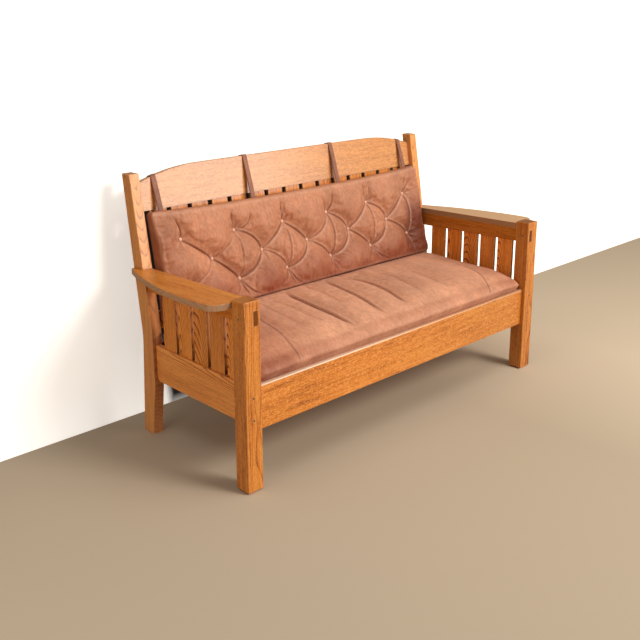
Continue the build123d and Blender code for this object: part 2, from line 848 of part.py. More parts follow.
def build():
    nodes = {}

    def pair(name, shape):
        nodes[name + "_left"] = shape
        nodes[name + "_right"] = mirrored(shape)

    pair("front_post", front_post())
    pair("rear_post", rear_post())
    nodes["front_seat_rail"] = front_seat_rail()
    nodes["rear_seat_rail"] = rear_seat_rail()
    pair("side_rail", side_rail())
    pair("arm_rail", arm_rail())
    pair("arm", arm())
    for place in range(side_slat_count):
        slat = span_between(side_slat_span(place))
        nodes[f"side_slat_left_{place + 1}"] = slat
        nodes[f"side_slat_right_{place + 1}"] = mirrored(slat)
    nodes["crest_rail"] = crest_rail()
    nodes["lower_back_rail"] = lower_back_rail()
    for place in range(back_slat_count):
        nodes[f"back_slat_{place + 1:02d}"] = on_lean(span_between(back_slat_span(place)))
    nodes["front_cleat"] = cleat(front_cleat_span(), -1)
    nodes["rear_cleat"] = cleat(rear_cleat_span(), 1)
    for place in range(seat_slat_count):
        nodes[f"seat_slat_{place + 1:02d}"] = seat_slat(place)
    pegs = front_pegs(peg_diameter) + [arm_peg(peg_diameter)]
    nodes["pegs"] = pegs + [mirrored(peg) for peg in pegs]
    screws = cleat_screw_set(front_cleat_span(), -1) + cleat_screw_set(rear_cleat_span(), 1)
    nodes["cleat_screws"] = screws
    nodes["seat_cushion"] = seat_cushion()
    cushion = back_cushion()
    nodes["back_cushion"] = cushion
    nodes["cushion_buttons"] = cushion_buttons()
    nodes["strap_loops"] = [on_lean(strap_loop(u)) for u in strap_columns()]
    nodes["strap_studs"] = [on_lean(strap_stud(u)) for u in strap_columns()]
    nodes["strap_hangers"] = [strap_hanger(u, cushion) for u in strap_columns()]
    return nodes


os.makedirs("parts", exist_ok=True)
for name, shape in build().items():
    if isinstance(shape, list):
        shape = Compound(children=[solid for part in shape for solid in part.solids()])
    export_step(shape, f"parts/{name}.step")
print("lean", round(degrees(lean), 2), "degrees; depth", overall_depth)
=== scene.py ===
import math

import bpy
import numpy as np
from mathutils import Matrix, Vector

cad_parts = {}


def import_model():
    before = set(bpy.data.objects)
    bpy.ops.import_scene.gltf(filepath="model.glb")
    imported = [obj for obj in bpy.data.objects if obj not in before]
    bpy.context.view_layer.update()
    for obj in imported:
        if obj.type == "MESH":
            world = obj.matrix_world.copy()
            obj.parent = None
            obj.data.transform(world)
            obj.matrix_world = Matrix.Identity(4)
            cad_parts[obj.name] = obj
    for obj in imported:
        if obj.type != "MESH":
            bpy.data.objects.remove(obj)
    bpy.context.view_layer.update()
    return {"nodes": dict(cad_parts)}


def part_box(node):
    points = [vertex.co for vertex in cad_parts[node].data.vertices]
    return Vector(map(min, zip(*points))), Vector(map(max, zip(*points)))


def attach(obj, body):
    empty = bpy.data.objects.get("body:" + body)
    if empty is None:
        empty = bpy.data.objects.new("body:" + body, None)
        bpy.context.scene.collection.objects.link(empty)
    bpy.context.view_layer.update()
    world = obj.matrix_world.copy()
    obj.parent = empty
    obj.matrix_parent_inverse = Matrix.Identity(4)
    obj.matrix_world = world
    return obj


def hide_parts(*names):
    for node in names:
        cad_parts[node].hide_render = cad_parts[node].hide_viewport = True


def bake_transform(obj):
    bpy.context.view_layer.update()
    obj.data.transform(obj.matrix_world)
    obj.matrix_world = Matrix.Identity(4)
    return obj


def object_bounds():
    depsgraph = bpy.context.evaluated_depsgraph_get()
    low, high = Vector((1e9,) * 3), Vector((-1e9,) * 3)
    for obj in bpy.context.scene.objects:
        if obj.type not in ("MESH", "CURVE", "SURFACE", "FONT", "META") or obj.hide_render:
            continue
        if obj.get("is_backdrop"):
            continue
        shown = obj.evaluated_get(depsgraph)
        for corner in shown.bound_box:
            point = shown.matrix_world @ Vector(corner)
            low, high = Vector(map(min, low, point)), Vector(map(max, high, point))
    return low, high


# A mission settle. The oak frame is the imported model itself, with grain, wear and softened
# edges added. The two cushions, the buttons and the straps are built here.

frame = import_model()
nodes = frame["nodes"]

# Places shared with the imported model, in metres and radians
LEAN = math.atan2(0.091, 0.547)
LEAN_ORIGIN = np.array([0.0, 0.206, 0.400])
CREST_TOP = 0.566                 # up the lean, in the middle
CREST_FLAT_HALF = 0.440
CREST_HALF = 0.717
CREST_DROP = 0.045
CREST_FRONT = -0.020              # from the rear posts' front edge, towards the front
CREST_REAR = -0.040
CUSHION_BACK = -0.0197
SEAT_DECK = 0.3523


# Frames and small helpers

def from_lean(points):
    """Places across, up and in front of the leaning back, carried into the row frame."""
    p = np.asarray(points, float)
    s, c = math.sin(LEAN), math.cos(LEAN)
    u, v, w = p[..., 0], p[..., 1], p[..., 2]
    return np.stack([u, v * s - w * c, v * c + w * s], -1) + LEAN_ORIGIN


def smooth(x):
    x = np.clip(x, 0, 1)
    return x * x * (3 - 2 * x)


def soft_noise(x, y, cell, seed):
    """Smooth noise from -1 to 1 over a plane, with features about a cell wide and high."""
    table = np.random.RandomState(seed).uniform(-1, 1, (64, 64))
    gx, gy = x / cell[0] + 17.3, y / cell[1] + 9.7
    ix, iy = np.floor(gx).astype(int), np.floor(gy).astype(int)
    fx, fy = smooth(gx - ix), smooth(gy - iy)
    low = table[ix % 64, iy % 64] * (1 - fx) + table[(ix + 1) % 64, iy % 64] * fx
    high = table[ix % 64, (iy + 1) % 64] * (1 - fx) + table[(ix + 1) % 64, (iy + 1) % 64] * fx
    return low * (1 - fy) + high * fy


def into_scene(name, data):
    obj = bpy.data.objects.new(name, data)
    bpy.context.scene.collection.objects.link(obj)
    return obj


def bare_mesh(name, points, faces):
    mesh = bpy.data.meshes.new(name)
    mesh.from_pydata([tuple(p) for p in points], [], [tuple(f) for f in faces])
    return into_scene(name, mesh)


def mesh_object(name, points, faces, material, body):
    obj = bare_mesh(name, points, faces)
    obj.data.shade_smooth()
    obj.data.materials.append(material)
    if body:
        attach(obj, body)
    return obj


def paint(obj, name, values):
    layer = obj.data.attributes.new(name, "FLOAT", "POINT")
    layer.data.foreach_set("value", np.asarray(values, np.float32))


def box_grid(xs, ys, zs):
    """The surface of a box as a grid with shared edges: its places and its outward faces."""
    counts = (len(xs) - 1, len(ys) - 1, len(zs) - 1)
    quads = []
    for axis in range(3):
        a, b = [i for i in range(3) if i != axis]
        ia, ib = np.meshgrid(np.arange(counts[a]), np.arange(counts[b]), indexing="ij")
        for at in (0, counts[axis]):
            quad = np.full((ia.size, 4, 3), at)
            for corner, (da, db) in enumerate(((0, 0), (1, 0), (1, 1), (0, 1))):
                quad[:, corner, a] = (ia + da).ravel()
                quad[:, corner, b] = (ib + db).ravel()
            outward = (at > 0) != (axis == 1)
            quads.append(quad if outward else quad[:, ::-1])
    quads = np.concatenate(quads)
    steps, index = np.unique(quads.reshape(-1, 3), axis=0, return_inverse=True)
    points = np.stack([xs[steps[:, 0]], ys[steps[:, 1]], zs[steps[:, 2]]], 1)
    return points, index.reshape(-1, 4)


def ring_quads(start, rings, around):
    """The faces between rings of places that follow each other from a starting number."""
    for i in range(rings - 1):
        for k in range(around):
            a, b = start + i * around + k, start + i * around + (k + 1) % around
            yield a, b, b + around, a + around


def curve_points(start, end, bulge):
    """Points along an arc-like curve between two places, bulging to its left by a share."""
    run = end - start
    middle = (start + end) / 2 + np.array([-run[1], run[0]]) * bulge
    t = np.linspace(0, 1, 24)[:, None]
    return (1 - t) ** 2 * start + 2 * t * (1 - t) * (2 * middle - (start + end) / 2) + t ** 2 * end


def along(points, x, y):
    """Distance to a line of points, which side of it, and how far along it, for many places."""
    best = np.full(x.shape, 1e9)
    side, share = np.zeros((2, *x.shape))
    steps = np.linalg.norm(np.diff(points, axis=0), axis=1)
    reached = np.concatenate([[0], np.cumsum(steps)])
    for i in range(len(points) - 1):
        a, run = points[i], points[i + 1] - points[i]
        rx, ry = x - a[0], y - a[1]
        t = np.clip((rx * run[0] + ry * run[1]) / max(steps[i] ** 2, 1e-12), 0, 1)
        dx, dy = rx - t * run[0], ry - t * run[1]
        d = np.hypot(dx, dy)
        near = d < best
        best = np.where(near, d, best)
        side = np.where(near, np.sign(run[0] * ry - run[1] * rx), side)
        share = np.where(near, (reached[i] + t * steps[i]) / reached[-1], share)
    return best, side, share


# Materials

def new_material(name):
    """A material with its nodes, its shader and the object's own coordinates."""
    material = bpy.data.materials.new(name)
    material.use_nodes = True
    tree = material.node_tree
    place = add(tree, "TexCoord").outputs["Object"]
    return material, tree, tree.nodes["Principled BSDF"], place


def feed(tree, node, **inputs):
    """Sets a shader node's inputs, by name or as i and a number, or links them to outputs."""
    for name, value in inputs.items():
        key = int(name[1:]) if name[0] == "i" and name[1:].isdigit() else name.replace("_", " ")
        if isinstance(value, bpy.types.NodeSocket):
            tree.links.new(value, node.inputs[key])
        else:
            node.inputs[key].default_value = value


def add(tree, kind, props=None, **inputs):
    """A shader node with its properties and inputs set."""
    made = tree.nodes.new("ShaderNode" + kind)
    for name, value in (props or {}).items():
        setattr(made, name, value)
    feed(tree, made, **inputs)
    return made


def maths(tree, operation, *values, clamp=False):
    made = add(tree, "Math", {"operation": operation, "use_clamp": clamp},
               **{f"i{i}": value for i, value in enumerate(values)})
    return made.outputs[0]


def scaled(tree, value, by, plus=None):
    """A value times another, and a third added to it if there is one."""
    if plus is None:
        return maths(tree, "MULTIPLY", value, by)
    return maths(tree, "MULTIPLY_ADD", value, by, plus)


def axis_of(tree, vector, axis):
    return add(tree, "SeparateXYZ", Vector=vector).outputs[axis]


def ramp(tree, value, stops):
    """A colour or grey ramp: stops are pairs of a place and a colour or level."""
    made = add(tree, "ValToRGB", i0=value)
    slots = made.color_ramp.elements
    while len(slots) < len(stops):
        slots.new(0.5)
    for stop, (place, colour) in zip(slots, stops):
        stop.position = place
        stop.color = (*colour, 1) if isinstance(colour, tuple) else (colour, colour, colour, 1)
    return made.outputs[0]


def mix(tree, blend, factor, a, b):
    """Two colours mixed. Each is a colour or another node's output."""
    a, b = ((*c, 1) if isinstance(c, tuple) else c for c in (a, b))
    return add(tree, "Mix", {"data_type": "RGBA", "blend_type": blend},
               i0=factor, i6=a, i7=b).outputs[2]


def noise(tree, vector, scale, detail=3.0, rough=0.55, twist=0.0):
    """Noise from 0 to 1. A scale of three numbers stretches it differently along each axis."""
    if isinstance(scale, tuple):
        vector, scale = add(tree, "Mapping", Scale=scale, Vector=vector).outputs[0], 1.0
    return add(tree, "TexNoise", Vector=vector, Scale=scale, Detail=detail, Roughness=rough,
               Distortion=twist).outputs[0]


OAK_LIGHT = (0.76, 0.285, 0.046)
OAK_MIDDLE = (0.63, 0.190, 0.016)
OAK_DARK = (0.24, 0.048, 0.004)
OAK_PORES = (0.34, 0.22, 0.16)
OAK_PALE = (0.80, 0.33, 0.078)
OAK_DULL = (0.60, 0.44, 0.32)
OAK_BLEACH_AND_SHEEN = (0.80, 0.49, 0.25)
OAK_WORN = (0.76, 0.44, 0.20)
OAK_PAINTED_HIGHLIGHT = (1.0, 0.86, 0.68)
OAK_END = (0.085, 0.022, 0.005)
OAK_GAP_SHADE = (0.20, 0.14, 0.10)
OAK_IN_SHADE = (0.52, 0.33, 0.18)


def oak(name, centre, grain="X", lean=0.0, seed=0, pith=(0.25, 0.0), taper=0.0, fleck=0.5,
        lines=0.5, tone=1.0, ring=0.0028, end_grain=0.55, wear=0.62, flake=(70, 150, 150),
        gap_shade_sides="", bleach_and_sheen=0.0, coat=0.5, shine=0.22, shaded=None, rim=None,
        arris=(0.0045, 0.80, 0.985), worn=OAK_WORN, painted_highlight_top=None, painted_falloff=0.0):
    """Varnished oak. Grain is the axis that the board runs along. Pith is the tree's middle,
    across and behind the board's own middle: far across for quartersawn, behind for flat sawn.
    Ring is the width of a growth ring. Arris is how wide a rounded edge wears, and between
    which turns of its normal. Shaded is a height below which the front gets painted shade, and
    the bright top a height above which a painted highlight lies. Rim is a colour painted on the
    sides, sheen on one arm and shade on the other, and falloff a painted shade towards the right."""
    material, tree, shader, place = new_material(name)
    turned = add(tree, "Mapping", Location=tuple(-c for c in centre), Vector=place).outputs[0]
    if lean:
        turned = add(tree, "Mapping", Rotation=(lean, 0, 0), Vector=turned).outputs[0]
    x, y, z = add(tree, "SeparateXYZ", Vector=turned).outputs[:3]
    # along the grain, across it and through the board's thickness
    g, a, t = {"X": (x, z, y), "Y": (y, z, x), "Z": (z, x, y)}[grain]
    g = maths(tree, "ADD", g, seed * 1.37)
    board = add(tree, "CombineXYZ", X=g, Y=a, Z=t).outputs[0]

    # growth rings round the pith, wavering along the board
    waver = scaled(tree, noise(tree, board, (1.6, 9, 9), 2), 0.030, -0.015)
    a_far, t_far = (maths(tree, "SUBTRACT", way, middle) for way, middle in zip((a, t), pith))
    distance = maths(tree, "SQRT", maths(tree, "ADD", scaled(tree, a_far, a_far),
                                         scaled(tree, t_far, t_far)))
    distance = scaled(tree, g, taper, maths(tree, "ADD", distance, waver))
    rings = maths(tree, "FRACT", maths(tree, "DIVIDE", distance, ring))
    ring_tone = ramp(tree, rings, ((0.0, 0.15), (0.12, 0.9), (0.75, 0.75), (1.0, 0.1)))

    # fibres, pores and slow changes of colour
    fibres = noise(tree, board, (7, 260, 260), 4, 0.6)
    pores = ramp(tree, noise(tree, board, (46, 900, 900), 2, 0.5), ((0.34, 1.0), (0.46, 0.0)))
    streaks = noise(tree, board, (3.2, 75, 75), 3, 0.62)
    slow = noise(tree, board, (2.4, 11, 11), 2)
    level = scaled(tree, ring_tone, lines, -0.62 * lines)
    for part, by, plus in ((fibres, 1.5, -0.75), (streaks, 1.3, -0.65), (slow, 0.8, 0.16)):
        level = maths(tree, "ADD", level, scaled(tree, part, by, plus))
    colour = ramp(tree, level, ((0.0, OAK_DARK), (0.50, OAK_MIDDLE), (1.0, OAK_LIGHT)))
    colour = mix(tree, "MULTIPLY", scaled(tree, pores, 0.55), colour, OAK_PORES)

    # ray fleck: short bright and dull flakes across the grain of quartersawn faces
    flakes = noise(tree, board, flake, 4, 0.66, 1.6)
    bright = ramp(tree, flakes, ((0.53, 0.0), (0.59, 1.0)))
    dull = ramp(tree, flakes, ((0.39, 1.0), (0.46, 0.0)))
    colour = mix(tree, "MIX", scaled(tree, bright, 0.70 * fleck), colour, OAK_PALE)
    colour = mix(tree, "MULTIPLY", scaled(tree, dull, 0.60 * fleck), colour, OAK_DULL)

    # end grain drinks the stain and turns dark, and the sides that face a gap get painted shade
    flat = normal = add(tree, "NewGeometry").outputs["Normal"]
    if lean:
        normal = add(tree, "Mapping", {"vector_type": "NORMAL"}, Rotation=(lean, 0, 0),
                     Vector=normal).outputs[0]

    def facing(axis):
        return maths(tree, "ABSOLUTE", axis_of(tree, normal, axis))

    end = maths(tree, "GREATER_THAN", facing(grain), 0.8)
    rough_end = scaled(tree, noise(tree, board, (500, 500, 500), 2), 0.3)
    colour = mix(tree, "MIX", scaled(tree, end, end_grain), colour,
                 mix(tree, "MIX", rough_end, OAK_END, OAK_MIDDLE))
    # painted shade on the sides that face a gap
    if gap_shade_sides:
        sideways = maths(tree, "GREATER_THAN", facing(gap_shade_sides), 0.7)
        colour = mix(tree, "MULTIPLY", scaled(tree, sideways, 0.85), colour, OAK_GAP_SHADE)

    if shaded:
        # the front face below this height lies in the arm's shade
        below = ramp(tree, axis_of(tree, place, "Z"), ((shaded - 0.03, 1.0), (shaded, 0.0)))
        faces_front = maths(tree, "LESS_THAN", axis_of(tree, normal, "Y"), -0.7)
        below = scaled(tree, faces_front, below)
        colour = mix(tree, "MULTIPLY", below, colour, OAK_IN_SHADE)
        for key, full in (("Coat Weight", coat), ("Specular IOR Level", shine)):
            tree.links.new(scaled(tree, below, -full, full), shader.inputs[key])

    # worn arrises, found where a rounded normal leaves the flat one; where the worn colour is
    # dark, as on the crest rail, it is painted shade along the edge
    rounded = add(tree, "Bevel", {"samples": 4}, Radius=arris[0]).outputs[0]
    turn = add(tree, "VectorMath", {"operation": "DOT_PRODUCT"}, i0=rounded, i1=flat)
    edge = ramp(tree, turn.outputs["Value"], ((arris[1], 1.0), (arris[2], 0.0)))
    patchy = ramp(tree, noise(tree, place, (30, 30, 30)), ((0.36, 0.15), (0.6, 1.0)))
    edge = scaled(tree, edge, patchy)
    colour = mix(tree, "MIX", scaled(tree, edge, wear), colour, worn)
    # bleach pales the whole board; on the right arm it is mostly a painted reflection on its top
    if bleach_and_sheen:
        colour = mix(tree, "MIX", bleach_and_sheen, colour, OAK_BLEACH_AND_SHEEN)
    # painted sheen and shade: a colour laid over the sides, the faces that are not tops or bottoms
    if rim:
        edgewise = maths(tree, "LESS_THAN", facing("Z"), 0.5)
        colour = mix(tree, "MIX", scaled(tree, edgewise, 0.6), colour, rim)
    if painted_highlight_top:
        # painted highlight: the top arris and top face are painted near white, most of all towards
        # the left
        top = maths(tree, "GREATER_THAN", a, painted_highlight_top)
        run = ramp(tree, maths(tree, "ADD", x, 0.5), ((0.1, 0.62), (0.8, 0.28)))
        colour = mix(tree, "MIX", scaled(tree, top, run), colour, OAK_PAINTED_HIGHLIGHT)
    # painted shade: the board darkens towards the right, as the light falls off
    if painted_falloff:
        away = ramp(tree, maths(tree, "ADD", x, 0.5), ((0.3, 1.0), (1.0, 1.0 - painted_falloff)))
        colour = mix(tree, "MULTIPLY", 1.0, colour, away)
    if tone != 1.0:
        colour = mix(tree, "MULTIPLY", 1.0, colour, (tone, tone, tone))

    gloss = scaled(tree, edge, 0.12, scaled(tree, bright, -0.07 * fleck, 0.47))
    relief = scaled(tree, pores, -0.8, scaled(tree, fibres, 0.5))
    bump = add(tree, "Bump", Strength=0.22, Distance=0.0006, Height=relief).outputs[0]
    feed(tree, shader, Base_Color=colour, Roughness=gloss, Normal=bump,
         Specular_IOR_Level=shine, Coat_Weight=coat, Coat_Roughness=0.22)
    return material


LEATHER_BASE = (0.49, 0.202, 0.102)
LEATHER_DIRT_AND_SHADE = (0.160, 0.035, 0.011)
LEATHER_RUBBED_AND_HIGHLIGHT = (0.66, 0.38, 0.26)
LEATHER_STAIN_AND_SHADE = (0.225, 0.037, 0.007)


def leather(name, base=LEATHER_BASE, painted=True, patch_scale=5.0, rough=0.52,
            streak=(1, 1, 1)):
    """Worn leather. Where its mesh is painted, it is darker in its folds, with dirt and painted
    shade, darker where its stains are painted, which hold painted shade and a painted shadow too,
    and rubbed paler on its ridges, with a painted highlight along the seat's front. Streak
    stretches its patches."""
    material, tree, shader, place = new_material(name)
    drawn = add(tree, "Mapping", Scale=streak, Vector=place).outputs[0]
    colour = ramp(tree, noise(tree, drawn, patch_scale, 5, 0.58),
                  ((0.30, tuple(0.78 * c for c in base)), (0.52, base),
                   (0.74, tuple(1.16 * c for c in base))))
    # mottle and specks
    for scale, detail, share, stops in ((30, 7, 0.7, ((0.32, 0.89), (0.68, 1.08))),
                                        (95, 4, 0.6, ((0.34, 0.84), (0.66, 1.12)))):
        spots = ramp(tree, noise(tree, drawn, scale, detail, share), stops)
        colour = mix(tree, "MULTIPLY", 1.0, colour, spots)
    if painted:
        stain, fold, ridge = (add(tree, "Attribute", {"attribute_name": key}).outputs["Fac"]
                              for key in ("stain", "fold", "ridge"))
        blotch = ramp(tree, noise(tree, place, 9, 6, 0.62), ((0.30, 0.45), (0.70, 1.35)))
        stain = maths(tree, "MULTIPLY", stain, blotch, clamp=True)
        # the stain attribute darkens and reddens; it holds painted shade and a painted shadow too
        colour = mix(tree, "MIX", stain, colour, LEATHER_STAIN_AND_SHADE)
        # dirt and painted shade in the folds
        colour = mix(tree, "MIX", fold, colour, LEATHER_DIRT_AND_SHADE)
        scuff = ramp(tree, noise(tree, place, 60, 5, 0.65), ((0.34, 0.35), (0.62, 1.0)))
        # rubbed ridges, with a painted highlight along the seat's front
        colour = mix(tree, "MIX", scaled(tree, ridge, scuff), colour, LEATHER_RUBBED_AND_HIGHLIGHT)
    pebbles = add(tree, "TexVoronoi", {"feature": "DISTANCE_TO_EDGE"}, Vector=place,
                  Scale=620.0, Randomness=1.0).outputs[0]
    pebbles = maths(tree, "MINIMUM", pebbles, 0.22)
    creping = noise(tree, place, 150, 5, 0.62, 0.7)
    relief = scaled(tree, pebbles, 1.3, scaled(tree, creping, 1.8))
    bump = add(tree, "Bump", Strength=0.42, Distance=0.0014, Height=relief).outputs[0]
    feed(tree, shader, Base_Color=colour, Normal=bump,
         Roughness=scaled(tree, creping, 0.22, rough - 0.11), Specular_IOR_Level=0.32,
         Sheen_Weight=0.08, Sheen_Roughness=0.5)
    return material


def metal(name, colour, rough):
    material, tree, shader, place = new_material(name)
    stain = noise(tree, place, 300, 4, 0.5)
    tint = ramp(tree, stain, ((0.35, tuple(0.6 * c for c in colour)), (0.65, colour)))
    feed(tree, shader, Base_Color=tint, Metallic=1.0,
         Roughness=scaled(tree, stain, 0.3, rough - 0.15))
    return material


# The oak frame

LEANING = ("crest_rail", "lower_back_rail", "back_slat")
# How the boards were sawn and which way their grain runs, by the start of their names. Where a
# name has more than one row, later ones add to or change earlier ones.
BOARD_STYLES = (
    ("front_post", dict(
        grain="Z", pith=(0.02, 0.09), fleck=0.55, lines=0.8, taper=0.012, tone=0.92)),
    # the right front post's lower tone is painted shade, as the light falls off towards the right
    ("front_post_right", dict(tone=0.82)),
    ("rear_post", dict(
        grain="Z", pith=(0.0, 0.05), fleck=0.1, lines=0.95, taper=0.10, ring=0.0042,
        bleach_and_sheen=0.22, tone=1.08, shaded=0.61)),
    # the front rail gets a painted highlight on its top and painted shade towards its right
    ("front_seat_rail", dict(
        grain="X", pith=(0.35, 0.02), fleck=1.0, lines=0.35, wear=1.0, painted_highlight_top=0.0712,
        painted_falloff=0.16)),
    ("rear_seat_rail", dict(
        grain="X", pith=(0.02, 0.06), fleck=0.2, lines=0.7, taper=0.02, tone=0.85)),
    # the side rail's raised tone is painted light on the settle's left side
    ("side_rail", dict(
        grain="Y", pith=(0.075, 0.05), fleck=0.1, lines=1.5, taper=0.03, ring=0.0042,
        tone=1.30, bleach_and_sheen=0.10)),
    ("arm_rail", dict(
        grain="Y", pith=(0.2, 0.02), fleck=0.4, lines=0.9, end_grain=1.0, wear=0.1, coat=0.05,
        shine=0.08)),
    # the right arm rail's low tone is painted shade under the arm
    ("arm_rail_right", dict(tone=0.78)),
    (("arm_left", "arm_right"), dict(
        grain="Y", pith=(0.05, 0.12), fleck=0.35, lines=1.0, taper=0.04, ring=0.0050)),
    # the left arm's pale side colour is painted sheen, and its lower tone painted shade
    ("arm_left", dict(rim=(0.50, 0.34, 0.22), tone=0.91)),
    # the right arm's strong bleach is a painted reflection on its top, and its dark side colour
    # painted shade
    ("arm_right", dict(rim=(0.10, 0.032, 0.008), bleach_and_sheen=0.85)),
    ("side_slat", dict(grain="Z", fleck=0.1, lines=1.75, taper=0.12, gap_shade_sides="Y")),
    # the crest rail's dark worn colour paints shade along its top edge
    ("crest_rail", dict(
        grain="X", pith=(0.45, 0.02), fleck=1.2, lines=1.1, flake=(45, 170, 170),
        bleach_and_sheen=0.25, coat=0.8, tone=0.89, wear=1.0, arris=(0.010, 0.93, 0.999),
        worn=(0.36, 0.135, 0.038))),
    ("lower_back_rail", dict(grain="X", pith=(0.2, 0.05), fleck=0.4)),
    ("back_slat", dict(grain="Z", fleck=0.4, lines=0.6, taper=0.03, gap_shade_sides="X")),
    ("seat_slat", dict(
        grain="Y", pith=(0.03, 0.05), fleck=0.1, lines=0.7, taper=0.03, tone=0.8)),
    (("front_cleat", "rear_cleat"), dict(
        grain="X", pith=(0.05, 0.05), fleck=0.1, lines=0.6, tone=0.7)),
)
# Pith, ring and tone of each side slat, by its number. The tones above one are painted light, and
# the right side's are a little lower.
SIDE_SLATS = (((0.012, 0.03), 0.0050, 1.30), ((-0.015, 0.05), 0.0066, 1.16),
              ((0.09, 0.02), 0.0040, 1.18), ((0.004, 0.028), 0.0074, 1.36),
              ((-0.02, 0.045), 0.0056, 1.24))


def board_style(name, number):
    style = {}
    for start, values in BOARD_STYLES:
        if name.startswith(start):
            style.update(values)
    if name.startswith("side_slat"):
        pith, ring, tone = SIDE_SLATS[int(name[-1]) - 1]
        style.update(pith=pith, ring=ring, tone=tone * (1.0 if "left" in name else 0.95))
    elif name.startswith("back_slat"):
        style.update(pith=(0.02 * (number % 4 - 1.5), 0.06))
    return style


def give_material(node, material):
    node.data.materials.clear()
    node.data.materials.append(material)


wooden = [n for n in sorted(nodes) if n not in (
    "seat_cushion", "back_cushion", "cushion_buttons", "strap_loops", "strap_studs",
    "strap_hangers", "cleat_screws", "pegs")]
for number, name in enumerate(wooden):
    low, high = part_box(name)
    board = nodes[name]
    give_material(board, oak("oak_" + name, tuple((low + high) / 2), seed=number + 1,
                             lean=LEAN if name.startswith(LEANING) else 0.0,
                             **board_style(name, number)))
    board.modifiers.new("weld", "WELD").merge_threshold = 0.00002
    soften = board.modifiers.new("soften", "BEVEL")
    soften.width = 0.0040 if name == "front_seat_rail" else 0.0013
    soften.segments = 2
    soften.limit_method = "ANGLE"
    soften.angle_limit = math.radians(40)
    soften.harden_normals = True

give_material(nodes["pegs"], oak("oak_pegs", (0, 0, 0), grain="Y", fleck=0.0, lines=0.4,
                                 tone=0.42))
give_material(nodes["cleat_screws"], metal("steel_screws", (0.45, 0.44, 0.42), 0.45))
give_material(nodes["strap_studs"], metal("brass_studs", (0.62, 0.46, 0.20), 0.4))


# Cushions

class Relief:
    """Creases, puckers and ridges gathered over a cushion's face."""

    def __init__(self, x, y):
        self.x, self.y = x, y
        self.depth, self.raise_, self.fold, self.ridge = np.zeros((4, *x.shape))

    def crease(self, points, depth, width, lip=0.0, fade=(0.0, 0.0), soft=0.0022, sharp=0.38,
               rub=0.85, valley=0.0, line_width=0.0025, dark=1.0):
        """A fold. Its left side is steep and the other falls in slowly. Sharp is the share of
        its depth in a narrow line, valley the depth of a broad dip round it, lip the height of
        the roll beside it, rub how worn that is, and dark how dark the fold is painted, with dirt
        and painted shade."""
        d, side, share = along(points, self.x, self.y)
        strength = np.ones(self.x.shape)
        if fade[0]:
            strength *= smooth(share / fade[0])
        if fade[1]:
            strength *= smooth((1 - share) / fade[1])
        steep = side > 0
        reach = np.where(steep, 0.55 * width, 1.25 * width)
        away = np.sqrt(d * d + soft * soft) - soft
        drop = (1 - sharp) * depth * strength * np.exp(-away / reach)
        drop += sharp * depth * strength * np.exp(-(d / 0.0030) ** 2)
        drop += valley * strength * np.exp(-(d / 0.024) ** 2)
        self.depth = (self.depth ** 4 + drop ** 4) ** (1 / 4)
        if lip:
            hump = lip * strength * np.exp(-((d - 0.5 * width) / (0.35 * width)) ** 2)
            self.raise_ = np.maximum(self.raise_, hump * steep)
        near = strength * np.exp(-(d / line_width) ** 2) * min(1.0, depth / 0.009)
        self.fold = np.maximum(self.fold, 0.95 * dark * near)
        beside = strength * np.exp(-((d - 0.0062) / 0.0034) ** 2) * steep
        self.ridge = np.maximum(self.ridge, rub * beside * min(1.0, depth / 0.010))


def lattice(low, high, step):
    return np.linspace(low, high, max(2, int(round((high - low) / step)) + 1))


def rounded_cushion(half_x, half_y, thick, step, front_round, back_round):
    """A box lying flat whose edges are rounded more on its front than on its back. Gives its
    places from its back up, its faces, which way each place faces, and its lattice: where each
    place was before the rounding, and the steps across and up."""
    xs, ys = lattice(-half_x, half_x, step), lattice(-half_y, half_y, step)
    zs = lattice(-thick / 2, thick / 2, 0.006)
    points, faces = box_grid(xs, ys, zs)
    half = np.array([xs[-1], ys[-1], zs[-1]])
    radius = np.where(points[:, 2] > 0, front_round, back_round)[:, None]
    inner = np.clip(points, -(half - radius), half - radius)
    out = points - inner
    out /= np.maximum(np.linalg.norm(out, axis=1, keepdims=True), 1e-9)
    x, y, z = (inner + radius * out).T.copy()
    return x, y, z + thick / 2, faces, out, (points, xs, ys)


CLOTH_FRAMES = 15
CLOTH_SETTINGS = dict(quality=5, mass=0.25, tension_stiffness=20, compression_stiffness=20,
                      shear_stiffness=8, bending_stiffness=0.6, vertex_group_mass="pinned",
                      use_pressure=True)


